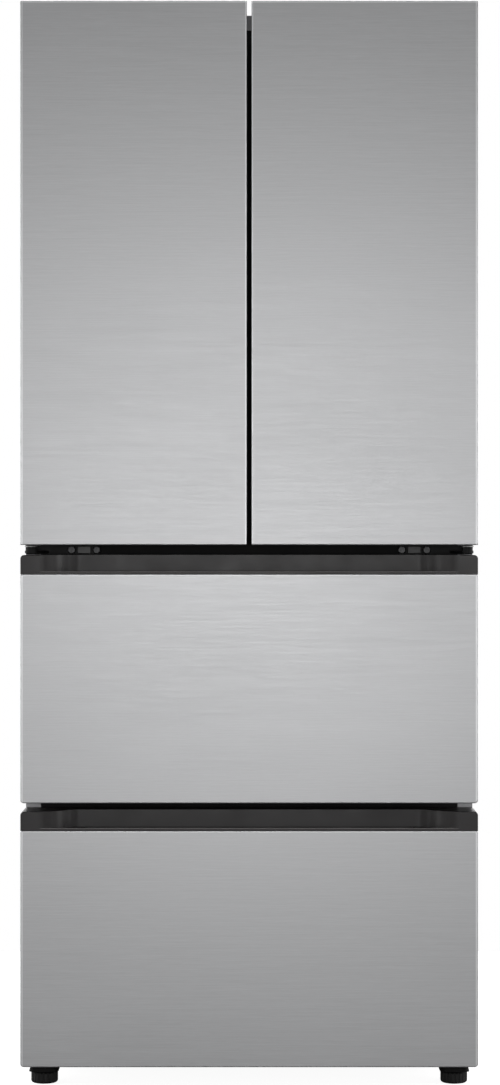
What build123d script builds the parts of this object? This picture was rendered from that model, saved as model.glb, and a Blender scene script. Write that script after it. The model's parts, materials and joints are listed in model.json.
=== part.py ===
from build123d import *
import math
import os

# A kimchi refrigerator with four fronts: two doors side by side above two drawers.
# All sizes are in millimetres. X runs to the right, the fronts face -Y and Z is up.
# The origin lies on the floor below the middle of the footprint.

# Overall form
front_width = 666.0
total_depth = 737.0
front_thickness = 68.0
seal_gap = 11.0
case_inset = 2.0
case_bottom = 30.0
door_over_case = 7.0

# Fronts, stacked from the floor up
lower_front_bottom = 43.3
lower_panel_height = 344.0
middle_panel_height = 333.4
grip_height = 27.8
drawer_gap = 12.2
hinge_gap = 14.6
door_height = 791.9
door_gap = 7.0

# Insulated walls, each measured to the inner face of its tub
side_wall = 47.0
top_wall = 47.0
floor_wall = 56.0
rear_wall = 64.0
centre_wall = 64.0
seal_land = 26.0
liner_wall = 2.0
tub_radius = 14.0

# Sheet metal of the cabinet
case_sheet = 1.0
case_flange = 22.0
case_radius = 6.0
pan_sheet = 1.5
pan_upstand = 32.0
frame_sheet = 2.0
foam_floor = 46.0
panel_recess = 8.0
bead_width = 26.0
bead_height = 3.0
bead_count = 4
bead_pitch = 140.0
bead_margin = 90.0

# Machine room at the bottom rear, with the step that it makes in the lower tub
machine_room_height = 182.0
machine_room_depth = 174.0
step_wall = 38.0

# Skin and seal of each front
skin = 1.0
skin_depth = 52.0
skin_fold = 5.0
skin_edge_radius = 1.5
skin_top_radius = 1.4
drawer_corner_radius = 5.0
door_corner_radius = 2.0
gasket_inset = 11.0
gasket_width = 14.0
gasket_rest_gap = 0.3
gasket_edge = 1.5

# Door caps, the dyke around the inner lining, and the bins that hang in it
cap_height = 20.0
dyke_reach = 25.0
dyke_width = 22.0
dyke_free_inset = 10.0
dyke_inset = 5.0
dyke_radius = 20.0
bin_reach = 80.0
bin_height = 110.0
bin_wall = 2.5
bin_radius = 24.0
bin_count = 3
bin_first = 12.0
bin_pitch = 215.0
finger_pocket_length = 110.0
finger_pocket_depth = 16.0
finger_pocket_width = 34.0
finger_pocket_setback = 9.0
finger_pocket_inset = 18.0
finger_pocket_radius = 6.0

# Door hinges
pin_inset = 14.0
pin_setback = 22.0
pin_radius = 4.0
pin_clearance = 0.05
pin_end_wall = 2.0
collar_radius = 8.0
collar_gap = 0.3
hinge_arm_radius = 9.0
middle_plate = 4.0
middle_plate_drop = 8.3
middle_plate_width = 34.0
bracket_length = 109.0
bracket_height = 13.0
bracket_drop = 1.5
bracket_sheet = 3.0
bracket_screw_inset = 68.0
bracket_screw_pitch = 37.0
bracket_boss_width = 18.0
bracket_boss_height = 10.0
bracket_boss_depth = 4.0
top_plate = 3.0
top_plate_length = 92.0
top_plate_width = 58.0
hinge_pocket_depth = 9.0
hinge_pocket_side = 12.0
hinge_cover_height = 9.0
hinge_cover_wall = 1.5
hinge_cover_margin = 2.0
hinge_cover_radius = 5.0
hinge_cover_edge = 2.5
screw_head_radius = 6.0
screw_head_height = 3.5
screw_radius = 2.5

# Drawer grips
grip_depth = 33.0
grip_lip_height = 2.8
grip_lip = 3.5
grip_end_flat = 26.0
grip_end_curve = 60.0
grip_bend_lead = 0.1
grip_bend_turn = 36.0
grip_bend_share = 0.55
grip_trough_depth = 24.0
grip_trough_inset = 4.0
grip_trough_radius = 9.0
grip_wall = 3.0
grip_corner_radius = 5.5
grip_edge_radius = 1.2

# Telescopic rails: three channels nested with running gaps
rail_height = 46.0
rail_depth = 11.0
rail_sheet = 1.5
rail_gap = 0.3
rail_web_gap = 0.8
rail_tip_step = 2.0
rail_setback = 3.5
rail_back_gap = 96.5
rail_slide_setback = 5.5
rail_drop = 57.0
arm_sheet = 2.0
arm_rise = 26.0
arm_foot = 18.0

# Gear that keeps each drawer square: a shaft behind the basket, with a pinion on a rack at each side
gear_module = 2.5
gear_teeth = 12
gear_tip = 2.2
gear_root = 3.0
gear_backlash = 0.4
pinion_tip_flank = 0.4
pinion_root_flank = 0.12
rack_flank = 0.364
gear_drop = 42.5
gear_behind_basket = 41.0
gear_side_gap = 0.3
gear_wall_gap = 0.5
gear_shaft_radius = 4.0
gear_shaft_clearance = 0.05
gear_lug_radius = 9.0
gear_lug_reach = 60.0
rack_front_gap = 4.0
rack_width = 13.0
rack_base = 5.0

# Drawer baskets and kimchi boxes
basket_wall = 3.0
basket_side_gap = 5.5
basket_floor_gap = 12.0
basket_front_gap = 1.5
basket_back_gap = 9.5
basket_radius = 22.0
basket_rim = 3.0
inner_pad = 8.0
inner_pad_half = 235.0
inner_pad_margin = 40.0
inner_pad_radius = 18.0
box_gap = 3.5
box_end_gap = 7.0
box_radius = 28.0
box_foot_radius = 8.0
box_wall = 2.5
lid_height = 16.0
lid_skirt = 6.0
lid_seat_gap = 0.2
lid_overhang = 2.0
lid_edge_radius = 4.0
lid_recess = 6.0
lid_recess_inset = 20.0
lid_bar_width = 34.0
upper_box_height = 176.0
upper_box_side_gap = 7.0
upper_box_setback = 12.0
upper_box_back_gap = 64.0

# Shelves and fittings of the upper compartments
shelf_first = 229.0
shelf_pitch = 230.0
shelf_count = 2
shelf_glass_thickness = 4.0
shelf_side_gap = 1.0
shelf_back_gap = 2.0
shelf_trim_height = 16.0
shelf_trim_depth = 14.0
shelf_trim_slot = 8.0
shelf_trim_radius = 2.0
shelf_to_bin = 12.0
ledge_width = 9.0
ledge_height = 6.0
duct_width = 150.0
duct_thickness = 16.0
duct_rise = 90.0
duct_top_gap = 59.9
duct_radius = 12.0
duct_slots = 6
duct_slot_length = 90.0
duct_slot_height = 8.0
duct_slot_depth = 8.0
duct_slot_pitch = 80.0
light_length = 150.0
light_width = 24.0
light_thickness = 7.0
light_setback = 130.0
light_radius = 5.0
control_length = 160.0
control_width = 46.0
control_thickness = 9.0
control_setback = 32.0
control_radius = 8.0

# Feet and rollers
foot_radius = 20.0
foot_height = 17.2
foot_round = 4.0
foot_chamfer = 2.0
foot_setback = 115.0
foot_inset = 27.0
foot_grooves = 20
foot_groove_radius = 1.6
foot_hub_radius = 7.5
foot_gap = 2.3
foot_seat_gap = 0.3
stud_radius = 5.0
stud_clearance = 0.05
stud_top = 44.0
stud_well = 1.0
foot_bracket_width = 38.0
foot_bracket_depth = 46.0
foot_bracket_taper = 16.0
foot_bracket_radius = 5.0
roller_radius = 17.0
roller_width = 18.0
roller_inset = 41.0
roller_from_back = 62.0
roller_side_gap = 0.5
roller_chamfer = 1.5
axle_radius = 3.0
axle_clearance = 0.05
axle_head_radius = 5.0
axle_head = 1.5
ear_sheet = 2.5
ear_radius = 9.0

# Compressor, fan, rear cover and cord gland
compressor_inset = 165.0
compressor_radius = 62.0
compressor_height = 128.0
compressor_seam = 66.0
compressor_flange = 3.5
compressor_round = 26.0
compressor_plate = 3.0
compressor_plate_length = 176.0
compressor_plate_width = 120.0
grommet_radius = 9.0
grommet_height = 12.0
grommet_inset = 14.0
stub_radius = 4.0
stub_height = 22.0
fan_x = 60.0
fan_radius = 50.0
fan_ring_gap = 4.0
fan_ring = 2.0
fan_ring_length = 30.0
fan_plate = 2.0
fan_blades = 5
fan_blade = 2.0
fan_root_chord = 20.0
fan_tip_chord = 28.0
fan_root_pitch = 52.0
fan_tip_pitch = 32.0
fan_hub_radius = 15.0
fan_hub_length = 22.0
fan_hub_gap = 0.3
fan_shaft_radius = 2.0
fan_shaft_clearance = 0.05
fan_arms = 3
fan_arm_width = 8.0
fan_arm_depth = 4.0
motor_radius = 24.0
motor_length = 34.0
cover_slot_length = 46.0
cover_slot_height = 5.0
cover_slot_rows = 8
cover_slot_columns = 8
cover_slot_pitch_x = 62.0
cover_slot_pitch_z = 16.0
gland_inset = 40.0
gland_height = 62.0
gland_radius = 8.0
gland_flange_radius = 12.0
gland_flange = 2.0
gland_sleeve = 5.0
gland_tail = 8.0
gland_bore = 3.6

# Levels and limits that follow from the sizes above
front_y = -total_depth / 2
back_y = total_depth / 2
core_y = front_y + front_thickness
skin_y = front_y + skin_depth
case_y = core_y + seal_gap
front_half = front_width / 2
case_half = front_half - case_inset
inner_half = case_half - case_sheet
tub_half = case_half - side_wall
flange_half = case_half - case_flange
panel_y = back_y - panel_recess
tub_back = panel_y - rear_wall

lower_grip_bottom = lower_front_bottom + lower_panel_height
lower_front_top = lower_grip_bottom + grip_height
middle_front_bottom = lower_front_top + drawer_gap
middle_front_top = middle_front_bottom + middle_panel_height + grip_height
door_bottom = middle_front_top + hinge_gap
door_top = door_bottom + door_height
case_top = door_top - door_over_case

lower_floor = case_bottom + floor_wall
lower_ceiling = lower_front_top - seal_land - liner_wall
middle_floor = middle_front_bottom + seal_land + liner_wall
middle_ceiling = middle_front_top - seal_land - liner_wall
upper_floor = door_bottom + seal_land + liner_wall
upper_ceiling = case_top - top_wall

pan_top = case_bottom + pan_sheet
machine_top = case_bottom + machine_room_height
machine_y = panel_y - machine_room_depth
machine_mid_y = (machine_y + panel_y) / 2
machine_mid_z = (pan_top + machine_top) / 2
step_top = machine_top + step_wall
step_y = machine_y - step_wall

door_edge = door_gap / 2
pin_x = front_half - pin_inset
pin_y = front_y + pin_setback
middle_plate_top = door_bottom - middle_plate_drop
middle_pin_end = door_bottom + cap_height - pin_end_wall
top_pin_end = door_top - cap_height + pin_end_wall

bin_back = case_y + bin_reach
shelf_front = bin_back + shelf_to_bin
shelf_back = tub_back - duct_thickness - shelf_back_gap
shelf_levels = [upper_floor + shelf_first + place * shelf_pitch for place in range(shelf_count)]
upper_across = (centre_wall / 2, tub_half)
upper_up = (upper_floor, upper_ceiling)
upper_mid_x = (centre_wall / 2 + tub_half) / 2

basket_along = (core_y + inner_pad + basket_front_gap, step_y - basket_back_gap)
member_length = basket_along[1] - core_y
gear_y = basket_along[1] + gear_behind_basket
gear_radius = gear_module * gear_teeth / 2
gear_pitch = math.pi * gear_module
rack_back = gear_y + gear_pitch
rack_teeth = int((rack_back - case_y - rack_front_gap) / gear_pitch)
rack_front = rack_back - rack_teeth * gear_pitch

sides = {"left": -1, "right": 1}


def upright(y):
    """A plane parallel to the fronts: sketched in X and Z, extruded forward."""
    return Plane.XZ.offset(-y)


def level(z):
    """A horizontal plane: sketched in X and Y, extruded upward."""
    return Plane.XY.offset(z)


def lengthwise(x):
    """A plane parallel to the sides: sketched in Y and Z, extruded to the right."""
    return Plane.YZ.offset(x)


def span(across, up, radius=0.0, mode=Mode.ADD):
    """A rectangle between two pairs of limits, with rounded corners if a radius is given."""
    width = across[1] - across[0]
    height = up[1] - up[0]
    with Locations(((across[0] + across[1]) / 2, (up[0] + up[1]) / 2)):
        if radius:
            RectangleRounded(width, height, radius, mode=mode)
        else:
            Rectangle(width, height, mode=mode)


def sideways(side, near, far):
    """Limits in X, measured from the middle: on the right for side 1, on the left for side -1."""
    return (near, far) if side > 0 else (-far, -near)


def inset(limits, amount):
    """Limits drawn in at both ends, or pushed out where the amount is negative."""
    return (limits[0] + amount, limits[1] - amount)


def save(builder, name):
    """Labels a finished piece and writes it under its name."""
    builder.part.label = name
    export_step(builder.part, f"parts/{name}.step")


os.makedirs("parts", exist_ok=True)


# Outer case: one folded sheet makes both sides and the top, with a flange around its front
def case_outline(drawn_in, foot=case_bottom):
    half = case_half - drawn_in
    with BuildLine() as outline:
        wrap = FilletPolyline(
            (-half, foot),
            (-half, case_top - drawn_in),
            (half, case_top - drawn_in),
            (half, foot),
            radius=case_radius - drawn_in,
        )
        Line(wrap @ 1, wrap @ 0)
    make_face(outline.edges())


with BuildPart() as outer_case:
    with BuildSketch(upright(back_y)):
        case_outline(0)
    extrude(amount=back_y - case_y)
    with BuildSketch(upright(back_y)):
        case_outline(case_sheet)
    extrude(amount=back_y - case_y - case_sheet, mode=Mode.SUBTRACT)
    with BuildSketch(upright(case_y + case_sheet)):
        span((-flange_half, flange_half), (case_bottom, case_top - case_flange))
    extrude(amount=case_sheet, mode=Mode.SUBTRACT)
save(outer_case, "outer_case")


# Back panel, with beads pressed outwards to stiffen it
bead_length = case_top - machine_top - 2 * bead_margin
with BuildPart() as back_panel:
    with BuildSketch(upright(panel_y)):
        case_outline(case_sheet, machine_top)
    extrude(amount=case_sheet)
    with BuildSketch(upright(panel_y)):
        with Locations((0, (machine_top + case_top) / 2)):
            with GridLocations(bead_pitch, 0, bead_count, 1):
                SlotOverall(bead_length, bead_width, rotation=90)
    extrude(amount=-bead_height, taper=30)
save(back_panel, "back_panel")


# Base pan: a bent sheet under the cabinet that steps up over the machine room, with ears for the rollers
roller_x = case_half - roller_inset
roller_y = back_y - roller_from_back
foot_x = front_half - foot_inset
foot_y = front_y + foot_setback
ear_offset = roller_width / 2 + roller_side_gap
upstand_y = case_y + frame_sheet

with BuildPart() as base_pan:
    with BuildSketch(lengthwise(-inner_half)):
        with BuildLine():
            Polyline(
                (upstand_y, case_bottom + pan_upstand),
                (upstand_y, case_bottom),
                (panel_y, case_bottom),
                (panel_y, pan_top),
                (machine_y + pan_sheet, pan_top),
                (machine_y + pan_sheet, machine_top),
                (panel_y - case_sheet, machine_top),
                (panel_y - case_sheet, machine_top + pan_sheet),
                (machine_y, machine_top + pan_sheet),
                (machine_y, pan_top),
                (upstand_y + pan_sheet, pan_top),
                (upstand_y + pan_sheet, case_bottom + pan_upstand),
                close=True,
            )
        make_face()
    extrude(amount=2 * inner_half)
    for side in sides.values():
        for ear_x in (side * roller_x + ear_offset, side * roller_x - ear_offset - ear_sheet):
            with BuildSketch(lengthwise(ear_x)):
                with Locations((roller_y, roller_radius)):
                    Circle(ear_radius)
                span((roller_y - 2 * ear_radius, roller_y + 2 * ear_radius), (case_bottom, pan_top))
                make_hull()
                with Locations((roller_y, roller_radius)):
                    Circle(axle_radius, mode=Mode.SUBTRACT)
            extrude(amount=ear_sheet)
    with BuildSketch(level(case_bottom)):
        with Locations((foot_x, foot_y), (-foot_x, foot_y)):
            Circle(stud_radius + stud_well)
        with Locations((roller_x, roller_y), (-roller_x, roller_y)):
            Rectangle(2 * ear_offset, 2 * roller_radius)
    extrude(amount=pan_sheet, mode=Mode.SUBTRACT)
save(base_pan, "base_pan")


# Inner tubs. The lower one steps up over the machine room.
def tub_space(across, up, grown, stepped=False, mode=Mode.ADD):
    """Fills the space of a tub from its back to the cabinet's front, grown by its wall."""
    back = (step_y if stepped else tub_back) + grown
    with BuildSketch(upright(back)) as opening:
        span(inset(across, -grown), inset(up, -grown), tub_radius + grown)
    extrude(opening.sketch, amount=back - case_y, mode=mode)
    if stepped:
        with BuildSketch(upright(tub_back + grown)) as upper_part:
            span(inset(across, -grown), inset((step_top, up[1]), -grown), tub_radius + grown)
        extrude(upper_part.sketch, amount=tub_back + grown - case_y, mode=mode)


def all_tub_spaces(grown, mode):
    for side in sides.values():
        tub_space(sideways(side, *upper_across), upper_up, grown, mode=mode)
    tub_space((-tub_half, tub_half), (middle_floor, middle_ceiling), grown, mode=mode)
    tub_space((-tub_half, tub_half), (lower_floor, lower_ceiling), grown, stepped=True, mode=mode)


# The upper tubs carry ledges for the shelves along both of their sides
for name, side in sides.items():
    across = sideways(side, *upper_across)
    with BuildPart() as upper_tub:
        tub_space(across, upper_up, liner_wall)
        tub_space(across, upper_up, 0, mode=Mode.SUBTRACT)
        for shelf_z in shelf_levels:
            with BuildSketch(upright(shelf_back)):
                span(across, (shelf_z - ledge_height, shelf_z))
                span(inset(across, ledge_width), (shelf_z - ledge_height, shelf_z), mode=Mode.SUBTRACT)
            extrude(amount=shelf_back - shelf_front - shelf_trim_depth)
    save(upper_tub, f"upper_{name}_liner")

with BuildPart() as middle_liner:
    tub_space((-tub_half, tub_half), (middle_floor, middle_ceiling), liner_wall)
    tub_space((-tub_half, tub_half), (middle_floor, middle_ceiling), 0, mode=Mode.SUBTRACT)
save(middle_liner, "middle_liner")

with BuildPart() as lower_liner:
    tub_space((-tub_half, tub_half), (lower_floor, lower_ceiling), liner_wall, stepped=True)
    tub_space((-tub_half, tub_half), (lower_floor, lower_ceiling), 0, stepped=True, mode=Mode.SUBTRACT)
save(lower_liner, "lower_liner")


# Front frame: the plate that the gaskets close on, with a window for each tub
with BuildPart() as front_frame:
    with BuildSketch(upright(case_y + frame_sheet)):
        span((-flange_half, flange_half), (case_bottom, case_top - case_flange))
    extrude(amount=frame_sheet)
    all_tub_spaces(liner_wall, Mode.SUBTRACT)
save(front_frame, "front_frame")


# Insulation, foamed in between the case, the tubs and the machine room
with BuildPart() as cabinet_foam:
    with BuildSketch(upright(panel_y - case_sheet)):
        case_outline(case_sheet, foam_floor)
    extrude(amount=panel_y - case_sheet - upstand_y)
    with BuildSketch(lengthwise(-inner_half)):
        span((machine_y, panel_y), (foam_floor, machine_top + pan_sheet))
        span((upstand_y, upstand_y + pan_sheet), (foam_floor, case_bottom + pan_upstand))
    extrude(amount=2 * inner_half, mode=Mode.SUBTRACT)
    all_tub_spaces(liner_wall, Mode.SUBTRACT)
save(cabinet_foam, "cabinet_foam")


# Top hinges: a plate on the case with an arm over each door and a pin down into its cap
top_plate_y = case_y + hinge_cover_margin + hinge_cover_wall
hinge_floor = door_top - hinge_pocket_depth
with BuildPart() as top_hinges:
    for side in sides.values():
        with BuildSketch(level(case_top)):
            with Locations((side * pin_x, pin_y)):
                Circle(hinge_arm_radius)
            span(
                sideways(side, pin_x - hinge_arm_radius, pin_x + hinge_arm_radius),
                (pin_y, top_plate_y + hinge_arm_radius),
            )
            span(
                sideways(side, pin_x + hinge_arm_radius - top_plate_width, pin_x + hinge_arm_radius),
                (top_plate_y, top_plate_y + top_plate_length),
                hinge_cover_radius - hinge_cover_wall,
            )
        extrude(amount=top_plate)
        with BuildSketch(level(case_top)):
            with Locations((side * pin_x, pin_y)):
                Circle(collar_radius)
        extrude(amount=hinge_floor + collar_gap - case_top)
        with BuildSketch(level(case_top)):
            with Locations((side * pin_x, pin_y)):
                Circle(pin_radius)
        extrude(amount=top_pin_end - case_top)
save(top_hinges, "top_hinges")

cover_across = (
    pin_x + hinge_arm_radius - top_plate_width - hinge_cover_wall,
    pin_x + hinge_arm_radius + hinge_cover_wall,
)
cover_along = (top_plate_y - hinge_cover_wall, top_plate_y + top_plate_length + hinge_cover_wall)
with BuildPart() as top_hinge_covers:
    for side in sides.values():
        with BuildSketch(level(case_top)):
            span(sideways(side, *cover_across), cover_along, hinge_cover_radius)
        extrude(amount=hinge_cover_height)
    fillet(top_hinge_covers.faces().group_by(Axis.Z)[-1].edges(), hinge_cover_edge)
    for side in sides.values():
        with BuildSketch(level(case_top)):
            span(
                inset(sideways(side, *cover_across), hinge_cover_wall),
                inset(cover_along, hinge_cover_wall),
                hinge_cover_radius - hinge_cover_wall,
            )
        extrude(amount=hinge_cover_height - hinge_cover_wall, mode=Mode.SUBTRACT)
        with BuildSketch(level(case_top)):
            span(
                sideways(side, pin_x - hinge_arm_radius, pin_x + hinge_arm_radius),
                (case_y, top_plate_y + hinge_cover_radius),
            )
        extrude(amount=top_plate, mode=Mode.SUBTRACT)
save(top_hinge_covers, "top_hinge_covers")


# Middle hinges: a flange screwed to the crossbar, a plate out of it, and a collar and pin under each door
bracket_bottom = middle_plate_top - middle_plate - bracket_drop
bracket_mid_z = bracket_bottom + bracket_height / 2
screw_x = case_half - bracket_screw_inset
screw_places = [
    (side * (screw_x - place * bracket_screw_pitch), bracket_mid_z)
    for side in sides.values()
    for place in (0, 1)
]
with BuildPart() as middle_hinges:
    for side in sides.values():
        with BuildSketch(level(middle_plate_top - middle_plate)):
            with Locations((side * pin_x, pin_y)):
                Circle(hinge_arm_radius)
            span(sideways(side, case_half - middle_plate_width, case_half), (case_y - bracket_sheet, case_y))
            make_hull()
        extrude(amount=middle_plate)
        with BuildSketch(upright(case_y)):
            span(
                sideways(side, case_half - bracket_length, case_half),
                (bracket_bottom, bracket_bottom + bracket_height),
            )
        extrude(amount=bracket_sheet)
        with BuildSketch(upright(case_y - bracket_sheet)):
            with Locations((side * (screw_x - bracket_screw_pitch / 2), bracket_mid_z)):
                Rectangle(bracket_boss_width, bracket_boss_height)
        extrude(amount=bracket_boss_depth)
        with BuildSketch(level(middle_plate_top)):
            with Locations((side * pin_x, pin_y)):
                Circle(collar_radius)
        extrude(amount=middle_plate_drop - collar_gap)
        with BuildSketch(level(middle_plate_top)):
            with Locations((side * pin_x, pin_y)):
                Circle(pin_radius)
        extrude(amount=middle_pin_end - middle_plate_top)
    with BuildSketch(upright(case_y)):
        with Locations(*screw_places):
            Circle(screw_radius)
    extrude(amount=bracket_sheet, mode=Mode.SUBTRACT)
save(middle_hinges, "middle_hinges")


# Screws of the middle hinges, with their shanks in the flange
with BuildPart() as hinge_screws:
    with BuildSketch(upright(case_y)):
        with Locations(*screw_places):
            Circle(screw_radius)
    extrude(amount=bracket_sheet)
    with BuildSketch(upright(case_y - bracket_sheet)):
        with Locations(*screw_places):
            Circle(screw_head_radius)
    extrude(amount=screw_head_height, taper=20)
save(hinge_screws, "hinge_screws")


# Glass shelves on the ledges, each with a slotted trim along its front edge
with BuildPart() as shelf_glass:
    for side in sides.values():
        for shelf_z in shelf_levels:
            with BuildSketch(level(shelf_z)):
                span(
                    inset(sideways(side, *upper_across), shelf_side_gap),
                    (shelf_front + shelf_trim_depth - shelf_trim_slot, shelf_back),
                )
            extrude(amount=shelf_glass_thickness)
save(shelf_glass, "shelf_glass")

with BuildPart() as shelf_trims:
    for side in sides.values():
        across = inset(sideways(side, *upper_across), shelf_side_gap)
        for shelf_z in shelf_levels:
            trim_back = shelf_front + shelf_trim_depth
            with BuildSketch(lengthwise(across[0])):
                span(
                    (shelf_front, trim_back),
                    (shelf_z - shelf_trim_height / 2, shelf_z + shelf_trim_height / 2),
                    shelf_trim_radius,
                )
                span(
                    (trim_back - shelf_trim_slot, trim_back),
                    (shelf_z, shelf_z + shelf_glass_thickness),
                    mode=Mode.SUBTRACT,
                )
            extrude(amount=across[1] - across[0])
save(shelf_trims, "shelf_trims")


# Kimchi boxes: a thin-walled box, and a lid that grips its rim, with a sunken top and a bar to lift it by
def kimchi_box(width, length, height):
    """A box with its lid on. It stands on the middle of its floor."""
    with BuildPart() as lid:
        with BuildSketch(level(height - lid_skirt)):
            RectangleRounded(width + 2 * lid_overhang, length + 2 * lid_overhang, box_radius + lid_overhang)
        extrude(amount=lid_skirt + lid_height)
        fillet(lid.faces().sort_by(Axis.Z)[-1].edges(), lid_edge_radius)
        with BuildSketch(level(height - lid_skirt)):
            RectangleRounded(width + 2 * lid_seat_gap, length + 2 * lid_seat_gap, box_radius + lid_seat_gap)
        extrude(amount=lid_skirt + lid_seat_gap, mode=Mode.SUBTRACT)
        with BuildSketch(level(height + lid_height)):
            RectangleRounded(width - 2 * lid_recess_inset, length - 2 * lid_recess_inset, box_radius / 2)
            Rectangle(width, lid_bar_width, mode=Mode.SUBTRACT)
        extrude(amount=-lid_recess, mode=Mode.SUBTRACT)
    with BuildPart() as box:
        with BuildSketch():
            RectangleRounded(width, length, box_radius)
        extrude(amount=height)
        fillet(box.faces().sort_by(Axis.Z)[0].edges(), box_foot_radius)
        offset(amount=-box_wall, openings=box.faces().sort_by(Axis.Z)[-1])
        add(lid.part)
    return box.part


upper_box_front = shelf_front + upper_box_setback
upper_box_back = shelf_back - upper_box_back_gap
upper_box = kimchi_box(
    tub_half - centre_wall / 2 - 2 * upper_box_side_gap,
    upper_box_back - upper_box_front,
    upper_box_height,
)
upper_box_y = (upper_box_front + upper_box_back) / 2
with BuildPart() as upper_boxes:
    with Locations((upper_mid_x, upper_box_y, upper_floor), (-upper_mid_x, upper_box_y, upper_floor)):
        add(upper_box)
save(upper_boxes, "upper_boxes")


# Cold air ducts on the back of the upper tubs, with outlet slots
duct_bottom = upper_floor + duct_rise
duct_top = upper_ceiling - duct_top_gap
duct_mid_z = (duct_bottom + duct_top) / 2
with BuildPart() as air_ducts:
    for side in sides.values():
        with BuildSketch(upright(tub_back)):
            with Locations((side * upper_mid_x, duct_mid_z)):
                RectangleRounded(duct_width, duct_top - duct_bottom, duct_radius)
        extrude(amount=duct_thickness)
        with BuildSketch(upright(tub_back - duct_thickness)):
            with Locations((side * upper_mid_x, duct_mid_z)):
                with GridLocations(0, duct_slot_pitch, 1, duct_slots):
                    Rectangle(duct_slot_length, duct_slot_height)
        extrude(amount=-duct_slot_depth, mode=Mode.SUBTRACT)
save(air_ducts, "air_ducts")


# Lights in the ceilings of the upper tubs
with BuildPart() as interior_lights:
    with BuildSketch(level(upper_ceiling)):
        with Locations((upper_mid_x, case_y + light_setback), (-upper_mid_x, case_y + light_setback)):
            RectangleRounded(light_length, light_width, light_radius)
    extrude(amount=-light_thickness, taper=20)
save(interior_lights, "interior_lights")


# Touch control strip in the ceiling of the left tub, behind the door
with BuildPart() as control_strip:
    with BuildSketch(level(upper_ceiling)):
        with Locations((-upper_mid_x, case_y + control_setback + control_width / 2)):
            RectangleRounded(control_length, control_width, control_radius)
    extrude(amount=-control_thickness, taper=15)
save(control_strip, "control_strip")


# Hermetic compressor: a welded shell on a plate that stands on four rubber grommets
compressor_x = compressor_inset - inner_half
compressor_floor = pan_top + grommet_height + compressor_plate
with BuildPart() as compressor:
    with BuildSketch(level(compressor_floor)):
        with Locations((compressor_x, machine_mid_y)):
            Circle(compressor_radius)
    extrude(amount=compressor_height)
    fillet(compressor.edges().sort_by(Axis.Z)[0], compressor_round)
    fillet(compressor.edges().sort_by(Axis.Z)[-1], compressor_round)
    with BuildSketch(level(compressor_floor + compressor_seam)):
        with Locations((compressor_x, machine_mid_y)):
            Circle(compressor_radius + compressor_flange)
    extrude(amount=compressor_flange)
    with BuildSketch(level(compressor_floor - compressor_plate)):
        with Locations((compressor_x, machine_mid_y)):
            RectangleRounded(compressor_plate_length, compressor_plate_width, grommet_radius)
    extrude(amount=compressor_plate)
    with BuildSketch(level(pan_top)):
        with Locations((compressor_x, machine_mid_y)):
            with GridLocations(
                compressor_plate_length - 2 * grommet_inset,
                compressor_plate_width - 2 * grommet_inset,
                2,
                2,
            ):
                Circle(grommet_radius)
    extrude(amount=grommet_height)
    with BuildSketch(level(compressor_floor + compressor_height - compressor_round)):
        with Locations((compressor_x, machine_mid_y)):
            with GridLocations(compressor_radius, 0, 2, 1):
                Circle(stub_radius)
    extrude(amount=compressor_round + stub_height)
save(compressor, "compressor")


# Fan bracket: a plate across the machine room with a ring, three arms and the motor
fan_hole = fan_radius + fan_ring_gap
motor_face = fan_x + fan_ring_length - fan_arm_depth
with BuildPart() as fan_bracket:
    with BuildSketch(lengthwise(fan_x)):
        span((machine_y + pan_sheet, panel_y - case_sheet), (pan_top, machine_top))
        with Locations((machine_mid_y, machine_mid_z)):
            Circle(fan_hole, mode=Mode.SUBTRACT)
    extrude(amount=fan_plate)
    with BuildSketch(lengthwise(fan_x)):
        with Locations((machine_mid_y, machine_mid_z)):
            Circle(fan_hole + fan_ring)
            Circle(fan_hole, mode=Mode.SUBTRACT)
    extrude(amount=fan_ring_length)
    with BuildSketch(lengthwise(motor_face)):
        with Locations((machine_mid_y, machine_mid_z)):
            with PolarLocations((fan_hole + motor_radius) / 2, fan_arms, start_angle=90):
                Rectangle(fan_hole - motor_radius + 2 * fan_ring, fan_arm_width)
    extrude(amount=fan_arm_depth)
    with BuildSketch(lengthwise(motor_face)):
        with Locations((machine_mid_y, machine_mid_z)):
            Circle(motor_radius)
    extrude(amount=motor_length)
    with BuildSketch(lengthwise(motor_face)):
        with Locations((machine_mid_y, machine_mid_z)):
            Circle(fan_shaft_radius)
    extrude(amount=-fan_hub_gap - fan_hub_length)
save(fan_bracket, "fan_bracket")


# Fan: a hub that turns on the motor's shaft, with twisted blades
fan_centre = Vector(motor_face - fan_hub_gap - fan_hub_length / 2, machine_mid_y, machine_mid_z)
with BuildPart() as fan:
    with BuildSketch(lengthwise(motor_face - fan_hub_gap)):
        with Locations((machine_mid_y, machine_mid_z)):
            Circle(fan_hub_radius)
    extrude(amount=-fan_hub_length)
    for blade in range(fan_blades):
        turn = 2 * math.pi * blade / fan_blades
        outward = Vector(0, math.cos(turn), math.sin(turn))
        along = Vector(0, -math.sin(turn), math.cos(turn))
        with BuildSketch(Plane(fan_centre + outward * (fan_hub_radius - fan_blade), along, outward)):
            Rectangle(fan_root_chord, fan_blade, rotation=fan_root_pitch)
        with BuildSketch(Plane(fan_centre + outward * fan_radius, along, outward)):
            Rectangle(fan_tip_chord, fan_blade, rotation=fan_tip_pitch)
        loft()
    with BuildSketch(lengthwise(motor_face - fan_hub_gap)):
        with Locations((machine_mid_y, machine_mid_z)):
            Circle(fan_shaft_radius + fan_shaft_clearance)
    extrude(amount=-fan_hub_length, mode=Mode.SUBTRACT)
save(fan, "fan")


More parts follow.
